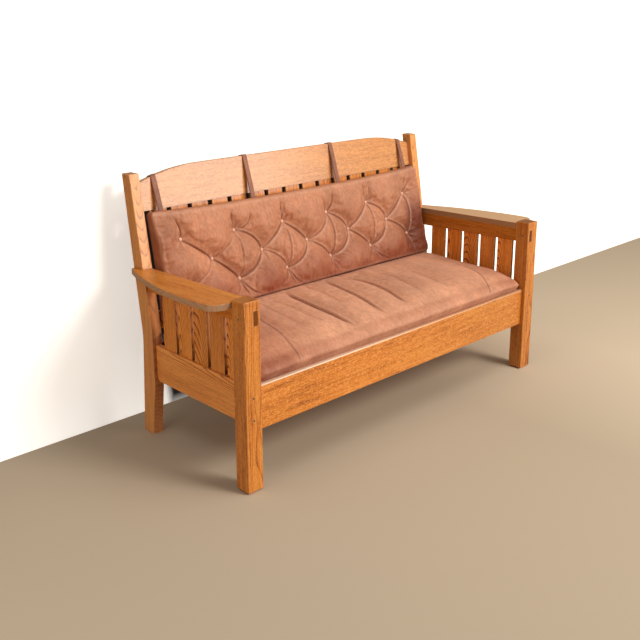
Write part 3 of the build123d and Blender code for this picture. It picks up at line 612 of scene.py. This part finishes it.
def swell(form, pressure, stretch, cap):
    """Lets a form's front swell as cloth between its held places, by no more than the cap.
    Gives how far each place moved, nought for the back and the walls."""
    scene = bpy.context.scene
    raw = form["lattice"][0]
    upper = form["faces"][(raw[form["faces"]][:, :, 2] > 0).all(axis=1)]
    kept, faces = np.unique(upper, return_inverse=True)
    faces = faces.reshape(-1, 4)
    points, pinned = form["places"][kept], form["held"][kept]
    skin = bare_mesh("skin", points, faces)
    mesh = skin.data
    group = skin.vertex_groups.new(name="pinned")
    levels = np.round(np.clip(pinned, 0, 1), 1)
    for level in np.unique(levels):
        group.add([int(i) for i in np.nonzero(levels == level)[0]], float(level), "REPLACE")
    cloth = skin.modifiers.new("cloth", "CLOTH")
    for key, value in CLOTH_SETTINGS.items():
        setattr(cloth.settings, key, value)
    cloth.settings.uniform_pressure_force = pressure
    cloth.settings.shrink_min = -stretch
    cloth.settings.effector_weights.gravity = 0
    cloth.collision_settings.use_collision = False
    cloth.point_cache.frame_start = 1
    cloth.point_cache.frame_end = CLOTH_FRAMES
    for number in range(1, CLOTH_FRAMES + 1):
        scene.frame_set(number)
    settled = skin.evaluated_get(bpy.context.evaluated_depsgraph_get())
    places = np.empty(len(points) * 3)
    settled.data.vertices.foreach_get("co", places)
    moved = places.reshape(-1, 3) - points
    bpy.data.objects.remove(skin)
    bpy.data.meshes.remove(mesh)
    scene.frame_set(1)
    far = np.linalg.norm(moved, axis=1, keepdims=True)
    every = np.zeros(raw.shape)
    every[kept] = moved * np.minimum(1, cap / np.maximum(far, 1e-9))
    return every


def spline_weights(fine, coarse):
    """Smooth weights that carry values at one row of places to a finer row."""
    away = np.abs((fine[:, None] - coarse[None, :]) / (coarse[1] - coarse[0]))
    near = (4 - 6 * away ** 2 + 3 * away ** 3) / 6
    weights = np.where(away < 1, near, np.clip(2 - away, 0, None) ** 3 / 6)
    return weights / weights.sum(axis=1, keepdims=True)


def carry_over(coarse, moved, fine):
    """The movement of a coarse form's front face, carried to a finer form's places."""
    (raw, xs, ys), (raw_fine, xs_fine, ys_fine) = coarse["lattice"], fine["lattice"]
    front = raw[:, 2] > raw[:, 2].max() - 1e-6
    grid = np.zeros((len(xs), len(ys), 3))
    grid[np.searchsorted(xs, raw[front, 0] - 1e-6), np.searchsorted(ys, raw[front, 1] - 1e-6)] \
        = moved[front]
    wx, wy = spline_weights(xs_fine, xs), spline_weights(ys_fine, ys)
    grid = np.einsum("ia,abk,jb->ijk", wx, grid, wy)
    out = np.zeros(raw_fine.shape)
    front = raw_fine[:, 2] > raw_fine[:, 2].max() - 1e-6
    out[front] = grid[np.searchsorted(xs_fine, raw_fine[front, 0] - 1e-6),
                      np.searchsorted(ys_fine, raw_fine[front, 1] - 1e-6)]
    return out


def swollen(make_form, quick_step, step, cloth_step, **cloth):
    form = make_form(step)
    places = form["places"]
    coarse = make_form(cloth_step)
    places = places + carry_over(coarse, swell(coarse, **cloth), form)
    return form, places


BUTTON_PITCH = 0.239
BUTTON_ROWS = (0.2970, 0.2060, 0.1150)
BUTTON_COUNTS = (6, 5, 6)
BUTTON_LEVEL = 0.0405


def button_places():
    """Where the buttons are, by row, T, M or B for top, middle or bottom, and number."""
    spots = {}
    for row, v, count in zip("TMB", BUTTON_ROWS, BUTTON_COUNTS):
        for i in range(count):
            u = (i - (count - 1) / 2) * BUTTON_PITCH
            # the rows sag a little in the middle, and no two buttons are quite level
            rise = 0.013 * (u / 0.6) ** 2 - 0.005 + 0.002 * math.sin(37 * u + 90 * v)
            spots[f"{row}{i + 1}"] = np.array((u + 0.003 * math.sin(23 * u + 60 * v), v + rise))
    return spots


# Folds between two buttons: how far each bows, and how deep it is in millimetres
TUFT_FOLDS = (
    ("T1", "M1", 0.01, 15), ("M1", "B2", 0.02, 15), ("T2", "M2", 0.16, 11),
    ("M2", "B3", 0.12, 7), ("T3", "M3", 0.02, 12), ("M3", "B4", 0.05, 7.5),
    ("T4", "M4", 0.08, 9.5), ("M4", "B5", 0.02, 11.5), ("T5", "M5", 0.14, 10),
    ("M5", "B6", 0.05, 10), ("T2", "M1", 0.06, 3), ("M1", "B1", 0.08, 3),
    ("T3", "M2", 0.02, 11), ("M2", "B2", 0.17, 14), ("T4", "M3", 0.18, 7),
    ("M3", "B3", 0.20, 8.5), ("T5", "M4", 0.03, 10), ("M4", "B4", 0.18, 9),
    ("T6", "M5", -0.02, 14), ("M5", "B5", 0.17, 13), ("T3", "B3", 0.13, 5.5),
    ("T4", "B4", 0.14, 6), ("T5", "B5", 0.12, 5), ("T6", "B6", 0.13, 9),
    ("T2", "B2", 0.10, 3),
)
# Folds that run out from one button and fade: how far across and up, how far each bows, and
# how deep it is, lengths in millimetres
LOOSE_FOLDS = (
    ("T1", (-38, 94), -0.10, 11), ("T1", (30, 45), 0.10, 4), ("T2", (-12, 98), 0.10, 7),
    ("T2", (66, 66), -0.28, 8), ("T2", (20, -85), -0.05, 3.5), ("T2", (-40, -45), 0.05, 3.5),
    ("T3", (-12, 100), 0.06, 8), ("T3", (22, 90), 0.10, 5.5), ("T4", (20, 98), -0.18, 10),
    ("T4", (-30, 60), 0.10, 4.5), ("T5", (-30, 85), 0.10, 8), ("T5", (4, 95), -0.08, 5.5),
    ("T6", (45, 70), 0.06, 9), ("T6", (0, 80), 0.06, 8), ("T6", (75, 10), 0.06, 4),
    ("M1", (-18, 40), 0.20, 10), ("M2", (15, -55), 0.05, 5), ("M3", (-50, 12), 0.05, 3.5),
    ("M5", (-22, 55), 0.10, 6), ("B1", (-50, 30), 0.10, 4), ("B1", (30, -80), 0.10, 6),
    ("B2", (30, -80), -0.10, 10), ("B2", (85, -78), -0.12, 8), ("B2", (-60, -60), 0.10, 5),
    ("B2", (130, 0), 0.20, 5), ("B3", (18, -80), -0.08, 8.5), ("B3", (58, -78), -0.12, 9),
    ("B3", (-70, -50), 0.12, 4), ("B4", (20, -80), -0.08, 7.5), ("B4", (-50, -60), 0.10, 4),
    ("B4", (80, -20), 0.12, 4.5), ("B5", (40, -80), -0.08, 8.5), ("B5", (90, -74), -0.12, 9),
    ("B5", (-60, -50), 0.10, 5), ("B6", (10, -80), -0.08, 8.5), ("B6", (75, 12), 0.06, 6),
    ("B6", (-50, -70), 0.10, 5),
)


BACK_HALF_U = 0.702
BACK_LOW, BACK_HIGH = 0.030, 0.398
BACK_THICK = 0.066
FOLD_WIDTH = 0.0085


def back_form(step):
    """The tufted cushion's shape on a grid of one step, lying flat: across, up and forward."""
    v_mid, half_v = (BACK_LOW + BACK_HIGH) / 2, (BACK_HIGH - BACK_LOW) / 2
    u, v, w, faces, out, grid = rounded_cushion(BACK_HALF_U, half_v, BACK_THICK, step,
                                                0.016, 0.012)
    across, up = u / BACK_HALF_U, v / half_v
    sideways, upright = np.abs(across), np.abs(up)
    front = smooth((out[:, 2] + 0.05) / 0.6)

    # thicker at the bottom, slimmer at the top, most of all at the top corners
    wedge = 1 + 0.20 * smooth((-0.15 - up) / 0.85) - 0.06 * smooth((up + 0.2) / 1.2)
    wedge -= 0.22 * smooth((sideways - 0.86) / 0.14) * smooth((up - 0.35) / 0.65)
    w *= wedge

    # the long edges draw in between the corners, and the walls bulge
    corner = sideways ** 3
    v += np.where(v > 0, 1, 0.25) * np.sign(v) * upright ** 0.7 * 0.016 * corner
    belly = np.sin(np.pi * np.clip(w / BACK_THICK, 0, 1))
    v += 0.004 * out[:, 1] * belly
    u += 0.004 * out[:, 0] * belly - 0.004 * out[:, 0] * (1 - up ** 2)
    u += 0.006 * np.sign(u) * smooth((sideways - 0.9) / 0.1) * smooth((-up - 0.5) / 0.5)
    face_v = v + v_mid

    relief = Relief(u, face_v)
    spots = button_places()
    for start, end, bulge, depth in TUFT_FOLDS:
        depth = depth / 1000
        relief.crease(curve_points(spots[start], spots[end], 0.7 * bulge), depth, FOLD_WIDTH,
                      lip=0.0016, valley=0.9 * depth, rub=0.7)
    for start, away, bulge, depth in LOOSE_FOLDS:
        depth = depth / 1000
        line = curve_points(spots[start], spots[start] + np.array(away) / 1000, bulge)
        line[:, 1] = np.clip(line[:, 1], BACK_LOW + 0.004, BACK_HIGH - 0.004)
        relief.crease(line, depth, FOLD_WIDTH, lip=0.0008, fade=(0, 0.55), rub=0.35,
                      valley=0.3 * depth)
    crown = 0.007 * (1 - upright ** 2.6) * (1 - sideways ** 10)
    slack = 0.0020 * soft_noise(u, face_v, (0.05, 0.13), 11)
    slack += 0.0009 * soft_noise(u, face_v, (0.022, 0.05), 12)
    # short puckers run in from the seams
    slack += 0.0016 * soft_noise(u, face_v, (0.013, 0.3), 13) * np.exp(-(1 - upright) / 0.14)
    slack += 0.0014 * soft_noise(u, face_v, (0.3, 0.013), 14) * np.exp(-(1 - sideways) / 0.035)
    hush = np.clip(relief.depth / 0.010, 0, 1)
    w = w + front * (crown - relief.depth + relief.raise_ + slack * (1 - 0.6 * hush))

    # every button pulls the leather down to one level
    pull, pucker = np.zeros((2, *u.shape))
    for number, (bu, bv) in enumerate(spots.values()):
        dx, dy = u - bu, face_v - bv
        r = np.hypot(dx, dy)
        angle = np.arctan2(dy, dx)
        reach = 0.026 * (1 + 0.15 * np.cos(2 * angle + number))
        pull = np.maximum(pull, np.exp(-np.maximum(r - 0.005, 0) / reach))
        ring = np.exp(-((r - 0.020) / 0.013) ** 2)
        pucker += ring * np.cos((5 + number % 3) * angle + 1.3 * number)
    level = BUTTON_LEVEL - 0.001
    w = np.where(out[:, 2] > 0, w + front * (np.minimum(w, level) - w) * pull, w)
    w += 0.0011 * front * pucker
    # dirt and painted shade in the dip round each button
    relief.fold = np.maximum(relief.fold, 0.5 * smooth((pull - 0.72) / 0.25))
    relief.ridge = np.maximum(relief.ridge, 0.45 * np.clip(pucker, 0, 1))
    w = np.where(out[:, 2] < -0.5, np.maximum(w, 0.0), w)

    # held at its buttons, its folds and all but its front
    held = np.maximum.reduce([
        np.clip(relief.depth / 0.009, 0, 1) ** 2, smooth((pull - 0.55) / 0.3),
        1 - smooth((out[:, 2] - 0.9) / 0.1), smooth((upright - 0.86) / 0.1)])
    return dict(places=np.stack([u, face_v, w], 1), faces=faces, front=front, relief=relief,
                across=across, up=up, held=held, lattice=grid)


def back_cushion():
    form, places = swollen(back_form, 0.006, 0.0024, 0.006, pressure=4.0, stretch=0.05,
                           cap=0.012)
    front, relief, across, up = (form[key] for key in ("front", "relief", "across", "up"))
    obj = mesh_object("back_cushion_tufted", from_lean(places + (0, 0, CUSHION_BACK)),
                      form["faces"], leather("leather_back", streak=(1.5, 1.5, 0.7)),
                      "back_cushion_body")
    # painted shadow of the right arm over the cushion's lower right
    arm_shadow = smooth((across - 0.74) / 0.16) * smooth((0.50 - up) / 0.7)
    # dirt and painted shade in its folds, and the arm's painted shadow
    paint(obj, "fold", np.maximum(relief.fold, 0.85 * arm_shadow) * front)
    edge_rub = np.exp(-((np.abs(up) - 0.955) / 0.03) ** 2) * 0.3 + \
        np.exp(-((np.abs(across) - 0.985) / 0.01) ** 2) * 0.2
    paint(obj, "ridge", np.clip(relief.ridge * front + edge_rub * front, 0, 1))
    # darker towards the bottom and at both ends; painted shade down its walls, and the arm's
    # painted shadow at the lower right
    low = smooth((0.10 - up) / 1.1)
    ends = smooth((np.abs(across) - 0.80) / 0.22)
    stain = 0.05 + 0.74 * low + 0.25 * ends + 0.65 * arm_shadow
    stain += 0.10 * soft_noise(places[:, 0], places[:, 1], (0.16, 0.12), 31)
    paint(obj, "stain", np.clip(stain + 0.35 * (1 - front), 0, 0.97))
    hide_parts("back_cushion")


def buttons():
    """Domed buttons covered with leather, each with a small gathered rim."""
    # radius and height of each ring, from the middle of the dome to under its rim
    profile = ((0.0, 0.0052), (0.0028, 0.0049), (0.0052, 0.0038), (0.0067, 0.0020),
               (0.0074, 0.0004), (0.0069, -0.0010), (0.0044, -0.0016))
    around = 20
    points, faces = [], []
    for u, v in button_places().values():
        start = len(points)
        for r, w in profile:
            for k in range(around):
                angle = 2 * math.pi * k / around
                gather = 1 + (0.03 * math.cos(5 * angle) if r > 0.005 else 0)
                points.append((u + r * gather * math.cos(angle),
                               v + r * gather * math.sin(angle),
                               w + BUTTON_LEVEL + CUSHION_BACK))
        faces += [(a, d, c, b) for a, b, c, d in ring_quads(start, len(profile), around)]
    obj = mesh_object("cushion_buttons_domed", from_lean(points), faces,
                      leather("leather_button", base=(0.74, 0.42, 0.28), painted=False,
                              rough=0.34), "back_cushion_body")
    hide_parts("cushion_buttons")


SEAT_HALF_X = 0.717
SEAT_FRONT, SEAT_BACK = -0.331, 0.198
SEAT_THICK = 0.070
# Each wrinkle's line across and back in millimetres, then its depth, width and darkness
SEAT_WRINKLES = (
    (((-190, 150), (-201, 109), (-210, 21), (-230, -97), (-238, -205), (-236, -296)),
     0.0170, 0.012, 1.0),
    (((26, 160), (18, 120), (4, 43), (-26, -78), (-58, -195), (-72, -278)),
     0.0125, 0.011, 0.9),
    (((85, 150), (128, 83), (140, 23), (114, -105), (80, -213), (68, -272)),
     0.0125, 0.011, 0.9),
    (((-86, 150), (-97, 105), (-104, 22), (-138, -134)), 0.0060, 0.015, 0.3),
    (((247, 100), (261, -12), (218, -144), (189, -238)), 0.0062, 0.014, 0.4),
    (((350, 80), (378, -18), (352, -135), (325, -238)), 0.0050, 0.013, 0.35),
    (((-319, 120), (-295, 38), (-310, -65), (-332, -192)), 0.0058, 0.015, 0.3),
    (((-369, 100), (-372, 32), (-393, -114), (-414, -218)), 0.0042, 0.014, 0.25),
    (((180, 130), (196, 50), (186, -60)), 0.0045, 0.014, 0.25),
)
# The seams where the end panels join the top, which run on down the front
SEAT_SEAMS = (
    ((-470, 150), (-474, -40), (-494, -140), (-512, -215), (-530, -275), (-546, -335)),
    ((600, 150), (622, 50), (626, -45), (607, -150), (570, -235), (520, -300), (492, -335)),
)


def seat_form(step):
    """The seat cushion's shape on a grid of one step, in the row frame but from the deck up."""
    y_mid, half_y = (SEAT_FRONT + SEAT_BACK) / 2, (SEAT_BACK - SEAT_FRONT) / 2
    x, y, z, faces, out, grid = rounded_cushion(SEAT_HALF_X, half_y, SEAT_THICK, step,
                                                0.033, 0.010)
    across, deep = x / SEAT_HALF_X, y / half_y
    top = smooth((out[:, 2] + 0.05) / 0.75)
    y += y_mid
    belly = np.sin(np.pi * np.clip(z / SEAT_THICK, 0, 1))
    y += 0.004 * out[:, 1] * belly
    x += 0.003 * out[:, 0] * belly

    relief = Relief(x, y)
    for line, depth, width, dark in SEAT_WRINKLES:
        relief.crease(smooth_line(line), 0.62 * depth, 1.2 * width, fade=(0.18, 0.2),
                      lip=0.25 * depth, soft=0.002, sharp=0.25 * dark, rub=0.30 * dark,
                      valley=0.45 * depth, line_width=0.0046, dark=dark)
    for line in SEAT_SEAMS:
        relief.crease(smooth_line(line), 0.0042, 0.010, lip=0.0012, soft=0.0016)

    crown = 0.025 * (1 - np.abs(deep) ** 2.2) * (1 - np.abs(across) ** 4)
    crown += 0.007 * smooth((deep - 0.2) / 0.5) * smooth((1.0 - deep) / 0.12)
    slack = 0.0030 * soft_noise(x, y, (0.10, 0.20), 21)
    slack += 0.0010 * soft_noise(x, y, (0.035, 0.10), 22)
    # the front falls away, a little more towards the right and at the corners
    sag = 0.017 * smooth((-deep - 0.45) / 0.55)
    sag += 0.003 * smooth((across + 0.1) / 0.8) * smooth((-deep - 0.35) / 0.6)
    sag += 0.004 * smooth((np.abs(across) - 0.85) / 0.15) * smooth((np.abs(deep) - 0.7) / 0.3)
    z = z + top * (crown - relief.depth + relief.raise_ + slack) - sag * smooth(z / SEAT_THICK)
    # the front corners draw back
    y += 0.007 * smooth((np.abs(across) - 0.95) / 0.05) * smooth((-deep - 0.8) / 0.2)
    # the foot of the front wall tucks in behind the rail's edge
    y += 0.013 * (1 - smooth((z - 0.006) / 0.036)) * smooth((-deep - 0.9) / 0.1)
    # held along its wrinkles and seams, and all but its top
    held = np.maximum.reduce([
        np.clip(relief.depth / 0.006, 0, 1) ** 2, 1 - smooth((out[:, 2] - 0.9) / 0.1),
        smooth((np.abs(deep) - 0.80) / 0.12), smooth((np.abs(across) - 0.93) / 0.05)])
    wall = 1 - smooth((out[:, 2] + 0.15) / 0.8)
    return dict(places=np.stack([x, y, np.maximum(z, 0)], 1), faces=faces, front=top,
                relief=relief, across=across, up=deep, held=held, wall=wall, lattice=grid)


def seat_cushion():
    form, places = swollen(seat_form, 0.008, 0.0034, 0.009, pressure=3.0, stretch=0.008,
                           cap=0.008)
    top, relief, across, deep = (form[key] for key in ("front", "relief", "across", "up"))
    obj = mesh_object("seat_cushion_leather", places + (0, 0, SEAT_DECK), form["faces"],
                      leather("leather_seat", base=(0.66, 0.305, 0.172), patch_scale=4.0,
                              streak=(1.5, 0.5, 1.0)),
                      "seat_cushion_body")
    # dirt and painted shade in its wrinkles and seams
    paint(obj, "fold", relief.fold * top * 0.75)
    # the front ridge is rubbed, and carries a painted highlight
    front_rub_and_highlight = np.exp(-((deep + 0.985) / 0.03) ** 2) * 0.10
    paint(obj, "ridge", np.clip((relief.ridge + front_rub_and_highlight) * top, 0, 1))
    # darker at its walls, its right end, along its front and towards the left front
    stain = 0.16 * form["wall"] + 0.20 * smooth((across - 0.72) / 0.2)
    stain += 0.24 * smooth((-deep - 0.80) / 0.12)
    stain += 0.42 * smooth((-across - 0.42) / 0.4)
    stain += 0.10 * soft_noise(places[:, 0], places[:, 1], (0.20, 0.14), 41)
    paint(obj, "stain", np.clip(stain, 0, 0.9))
    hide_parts("seat_cushion")


def smooth_line(line):
    """A smooth line near a few places, which are given in millimetres."""
    line = np.asarray(line, float) / 1000
    at = np.concatenate([[0], np.cumsum(np.linalg.norm(np.diff(line, axis=0), axis=1))])
    t = np.linspace(0, at[-1], 40)
    out = np.stack([np.interp(t, at, line[:, i]) for i in range(2)], 1)
    for _ in range(6):
        out[1:-1] = (out[:-2] + 2 * out[1:-1] + out[2:]) / 4
    return out


# Straps

def crest_fall(u):
    run = CREST_HALF - CREST_FLAT_HALF
    radius = (run * run + CREST_DROP * CREST_DROP) / (2 * CREST_DROP)
    past = max(abs(u) - CREST_FLAT_HALF, 0)
    return radius - math.sqrt(radius * radius - past * past)


STRAP_PLACES = (-0.650, -0.230, 0.230, 0.650)
STRAP_FOOT = 0.402                # where a strap leaves the cushion, up the lean
STRAP_LIFT = 0.0215               # and how far in front of the cushion's back it is there
ARRIS = 0.002                     # the radius of its bends over the crest rail


def straps():
    """Flat leather straps from the cushion's top seam up and over the crest rail."""
    half, thick = 0.011, 0.0034
    points, faces = [], []
    # shares of the half width and of the thickness, with a shallow groove along each edge
    section = ((-1, 0.25), (-0.86, 1), (-0.6, 0.92), (0, 1), (0.6, 0.92), (0.86, 1),
               (1, 0.25), (0.9, 0), (0, 0), (-0.9, 0))
    for u0 in STRAP_PLACES:
        top = CREST_TOP - crest_fall(u0)
        slope = (crest_fall(u0 + 0.01) - crest_fall(u0 - 0.01)) / 0.02
        path = [(0.380, CUSHION_BACK + 0.030), (0.394, CUSHION_BACK + 0.0255),
                (STRAP_FOOT, CUSHION_BACK + STRAP_LIFT)]
        for t in np.linspace(0.12, 1, 12):
            v = STRAP_FOOT + t * (top - 0.004 - STRAP_FOOT)
            w = CUSHION_BACK + STRAP_LIFT + t * (CREST_FRONT - CUSHION_BACK - STRAP_LIFT)
            path.append((v, w + 0.0015 * math.sin(math.pi * t)))
        front_bend, rear_bend = (
            [(top - ARRIS + ARRIS * math.sin(math.radians(a)),
              middle + ARRIS * math.cos(math.radians(a))) for a in np.linspace(first, last, 5)]
            for first, last, middle in ((10, 80, CREST_FRONT - ARRIS),
                                        (100, 170, CREST_REAR + ARRIS)))
        path += front_bend + [(top, (CREST_FRONT + CREST_REAR) / 2)] + rear_bend
        path += [(v, CREST_REAR) for v in np.linspace(top - 0.006, top - 0.058, 8)]
        path = np.array(path)
        tangent = np.gradient(path, axis=0)
        tangent /= np.linalg.norm(tangent, axis=1, keepdims=True)
        normal = np.stack([-tangent[:, 1], tangent[:, 0]], 1)
        start = len(points)
        for (v, w), (nv, nw) in zip(path, normal):
            for share, rise in section:
                du = half * share
                tilt = -slope * du * smooth((v - 0.41) / 0.06)
                points.append((u0 + du, v + tilt + nv * thick * rise, w + nw * thick * rise))
        n = len(section)
        faces += ring_quads(start, len(path), n)
        faces.append(tuple(start + k for k in range(n))[::-1])
        last = start + (len(path) - 1) * n
        faces.append(tuple(last + k for k in range(n)))
    obj = mesh_object("straps_leather", from_lean(points), faces,
                      leather("leather_strap", base=(0.27, 0.102, 0.057), painted=False,
                              patch_scale=16.0, rough=0.42), None)
    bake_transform(obj)
    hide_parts("strap_loops", "strap_hangers")


back_cushion()
buttons()
seat_cushion()
straps()


# Floor, backdrop, lamps and camera

FLOOR_COLOUR = (0.50, 0.40, 0.285)
WALL_COLOUR = (0.90, 0.885, 0.85)
WALL_Y = 0.420
ROOM_HALF, ROOM_HEIGHT = 9, 4


def floor_material():
    """Bare concrete, with painted light making it paler towards the far end of the room."""
    material, tree, shader, place = new_material("floor_pale")
    paler = ramp(tree, scaled(tree, axis_of(tree, place, "X"), 0.5),
                 ((0.15, FLOOR_COLOUR), (0.60, tuple(1.45 * c for c in FLOOR_COLOUR))))
    feed(tree, shader, Base_Color=paler, Roughness=0.7, Specular_IOR_Level=0.2)
    return material


def wall_material():
    """White from the front, with painted shade right behind the settle's back, and clear from
    behind.
    """
    material, tree, shader, place = new_material("backdrop_white")
    # painted shade: the wall is darkened where little light would get in between the settle's back
    # and the wall
    across, _, up = add(tree, "SeparateXYZ", Vector=place).outputs[:3]
    left, right = (scaled(tree, up, -0.155, side)
                   for side in (scaled(tree, across, -1.0), across))
    beside = maths(tree, "MAXIMUM", ramp(tree, left, ((0.530, 0.0), (0.565, 1.0))),
                   ramp(tree, right, ((0.61, 0.0), (0.70, 1.0))))
    beyond = ramp(tree, maths(tree, "ABSOLUTE", maths(tree, "SUBTRACT", up, 0.43)),
                  ((0.40, 0.0), (0.48, 1.0)))
    outside_painted_shade = maths(tree, "MAXIMUM", beside, beyond)
    shade = scaled(tree, outside_painted_shade, 0.95, 0.05)
    feed(tree, shader, Base_Color=mix(tree, "MULTIPLY", 1.0, WALL_COLOUR, shade), Roughness=0.9,
         Specular_IOR_Level=0.2, Emission_Color=(*WALL_COLOUR, 1),
         Emission_Strength=scaled(tree, outside_painted_shade, 0.55))
    back = add(tree, "NewGeometry").outputs["Backfacing"]
    clear = add(tree, "BsdfTransparent").outputs[0]
    both = add(tree, "MixShader", i0=back, i1=shader.outputs[0], i2=clear).outputs[0]
    feed(tree, tree.nodes["Material Output"], i0=both)
    return material


def stage_plane(name, corners, material):
    obj = bare_mesh(name, corners, [(0, 1, 2, 3)])
    obj.data.materials.append(material)
    obj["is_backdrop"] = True
    return obj


stage_plane("floor", [(x * ROOM_HALF, y * ROOM_HALF, 0)
                      for x, y in ((-1, -1), (1, -1), (1, 1), (-1, 1))], floor_material())
wall = stage_plane("backdrop", [(x * ROOM_HALF, WALL_Y, z) for x, z in (
    (-1, 0), (1, 0), (1, ROOM_HEIGHT), (-1, ROOM_HEIGHT))], wall_material())
# it neither lights the settle nor shades it
wall.visible_diffuse = False
wall.visible_glossy = False
wall.visible_transmission = False
wall.visible_shadow = False


def world():
    """A dim warm sky for the light, and white for the camera."""
    made = bpy.data.worlds.new("studio")
    made.use_nodes = True
    tree = made.node_tree
    light = tree.nodes["Background"]
    feed(tree, light, i0=(1.0, 0.91, 0.80, 1), i1=0.25)
    seen = add(tree, "Background", i0=(1, 1, 1, 1), i1=1.0)
    path = add(tree, "LightPath").outputs
    shown = maths(tree, "MAXIMUM", path["Is Camera Ray"], path["Is Transmission Ray"])
    both = add(tree, "MixShader", i0=shown, i1=light.outputs[0], i2=seen.outputs[0])
    feed(tree, tree.nodes["World Output"], i0=both.outputs[0])
    bpy.context.scene.world = made


def lamp(name, place, target, size, power, colour=(1, 1, 1)):
    data = bpy.data.lights.new(name, "AREA")
    data.shape = "DISK"
    data.size = size
    data.energy = power
    data.color = colour
    obj = into_scene(name, data)
    obj.location = place
    obj.rotation_euler = (Vector(target) - Vector(place)).to_track_quat("-Z", "Y").to_euler()


world()
lamp("key", (1.29, -4.80, 3.85), (0, 0, 0.5), 1.9, 222, (1.0, 0.97, 0.93))
lamp("side", (3.25, -5.15, 1.45), (-0.2, 0.2, 0.75), 2.7, 148, (1.0, 0.98, 0.95))
lamp("top", (0.2, -1.1, 3.2), (0, 0, 0.4), 1.4, 20)
lamp("left", (-1.7, -0.1, 2.9), (-1.5, 0, 0), 1.5, 12)
lamp("low", (-2.9, -0.5, 0.45), (-0.8, 0, 0.30), 1.0, 9, (1.0, 0.86, 0.72))


CAMERA_PLACE = (-2.3752, -2.3116, 1.4664)
CAMERA_TURN = (42.761, -15.332, -0.512)      # yaw, pitch and roll in degrees
CAMERA_LENS = 50.09
CAMERA_SHIFT = (0.03125, -0.09375)


def camera():
    """The photograph's camera, as it was fitted to the posts, rails and arms."""
    yaw, pitch, roll = (math.radians(turn) for turn in CAMERA_TURN)
    ahead = Vector((math.sin(yaw) * math.cos(pitch), math.cos(yaw) * math.cos(pitch),
                    math.sin(pitch)))
    right = Vector((math.cos(yaw), -math.sin(yaw), 0))
    up = right.cross(ahead)
    right, up = (right * math.cos(roll) + up * math.sin(roll),
                 up * math.cos(roll) - right * math.sin(roll))
    data = bpy.data.cameras.new("camera")
    data.sensor_width = 36.0
    data.lens = CAMERA_LENS
    data.shift_x, data.shift_y = CAMERA_SHIFT
    data.clip_end = 60
    obj = into_scene("camera", data)
    turn = Matrix((right, up, -ahead)).transposed()
    obj.matrix_world = Matrix.Translation(CAMERA_PLACE) @ turn.to_4x4()
    bpy.context.scene.camera = obj


camera()
bpy.context.scene.view_settings.view_transform = "Standard"

low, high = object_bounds()
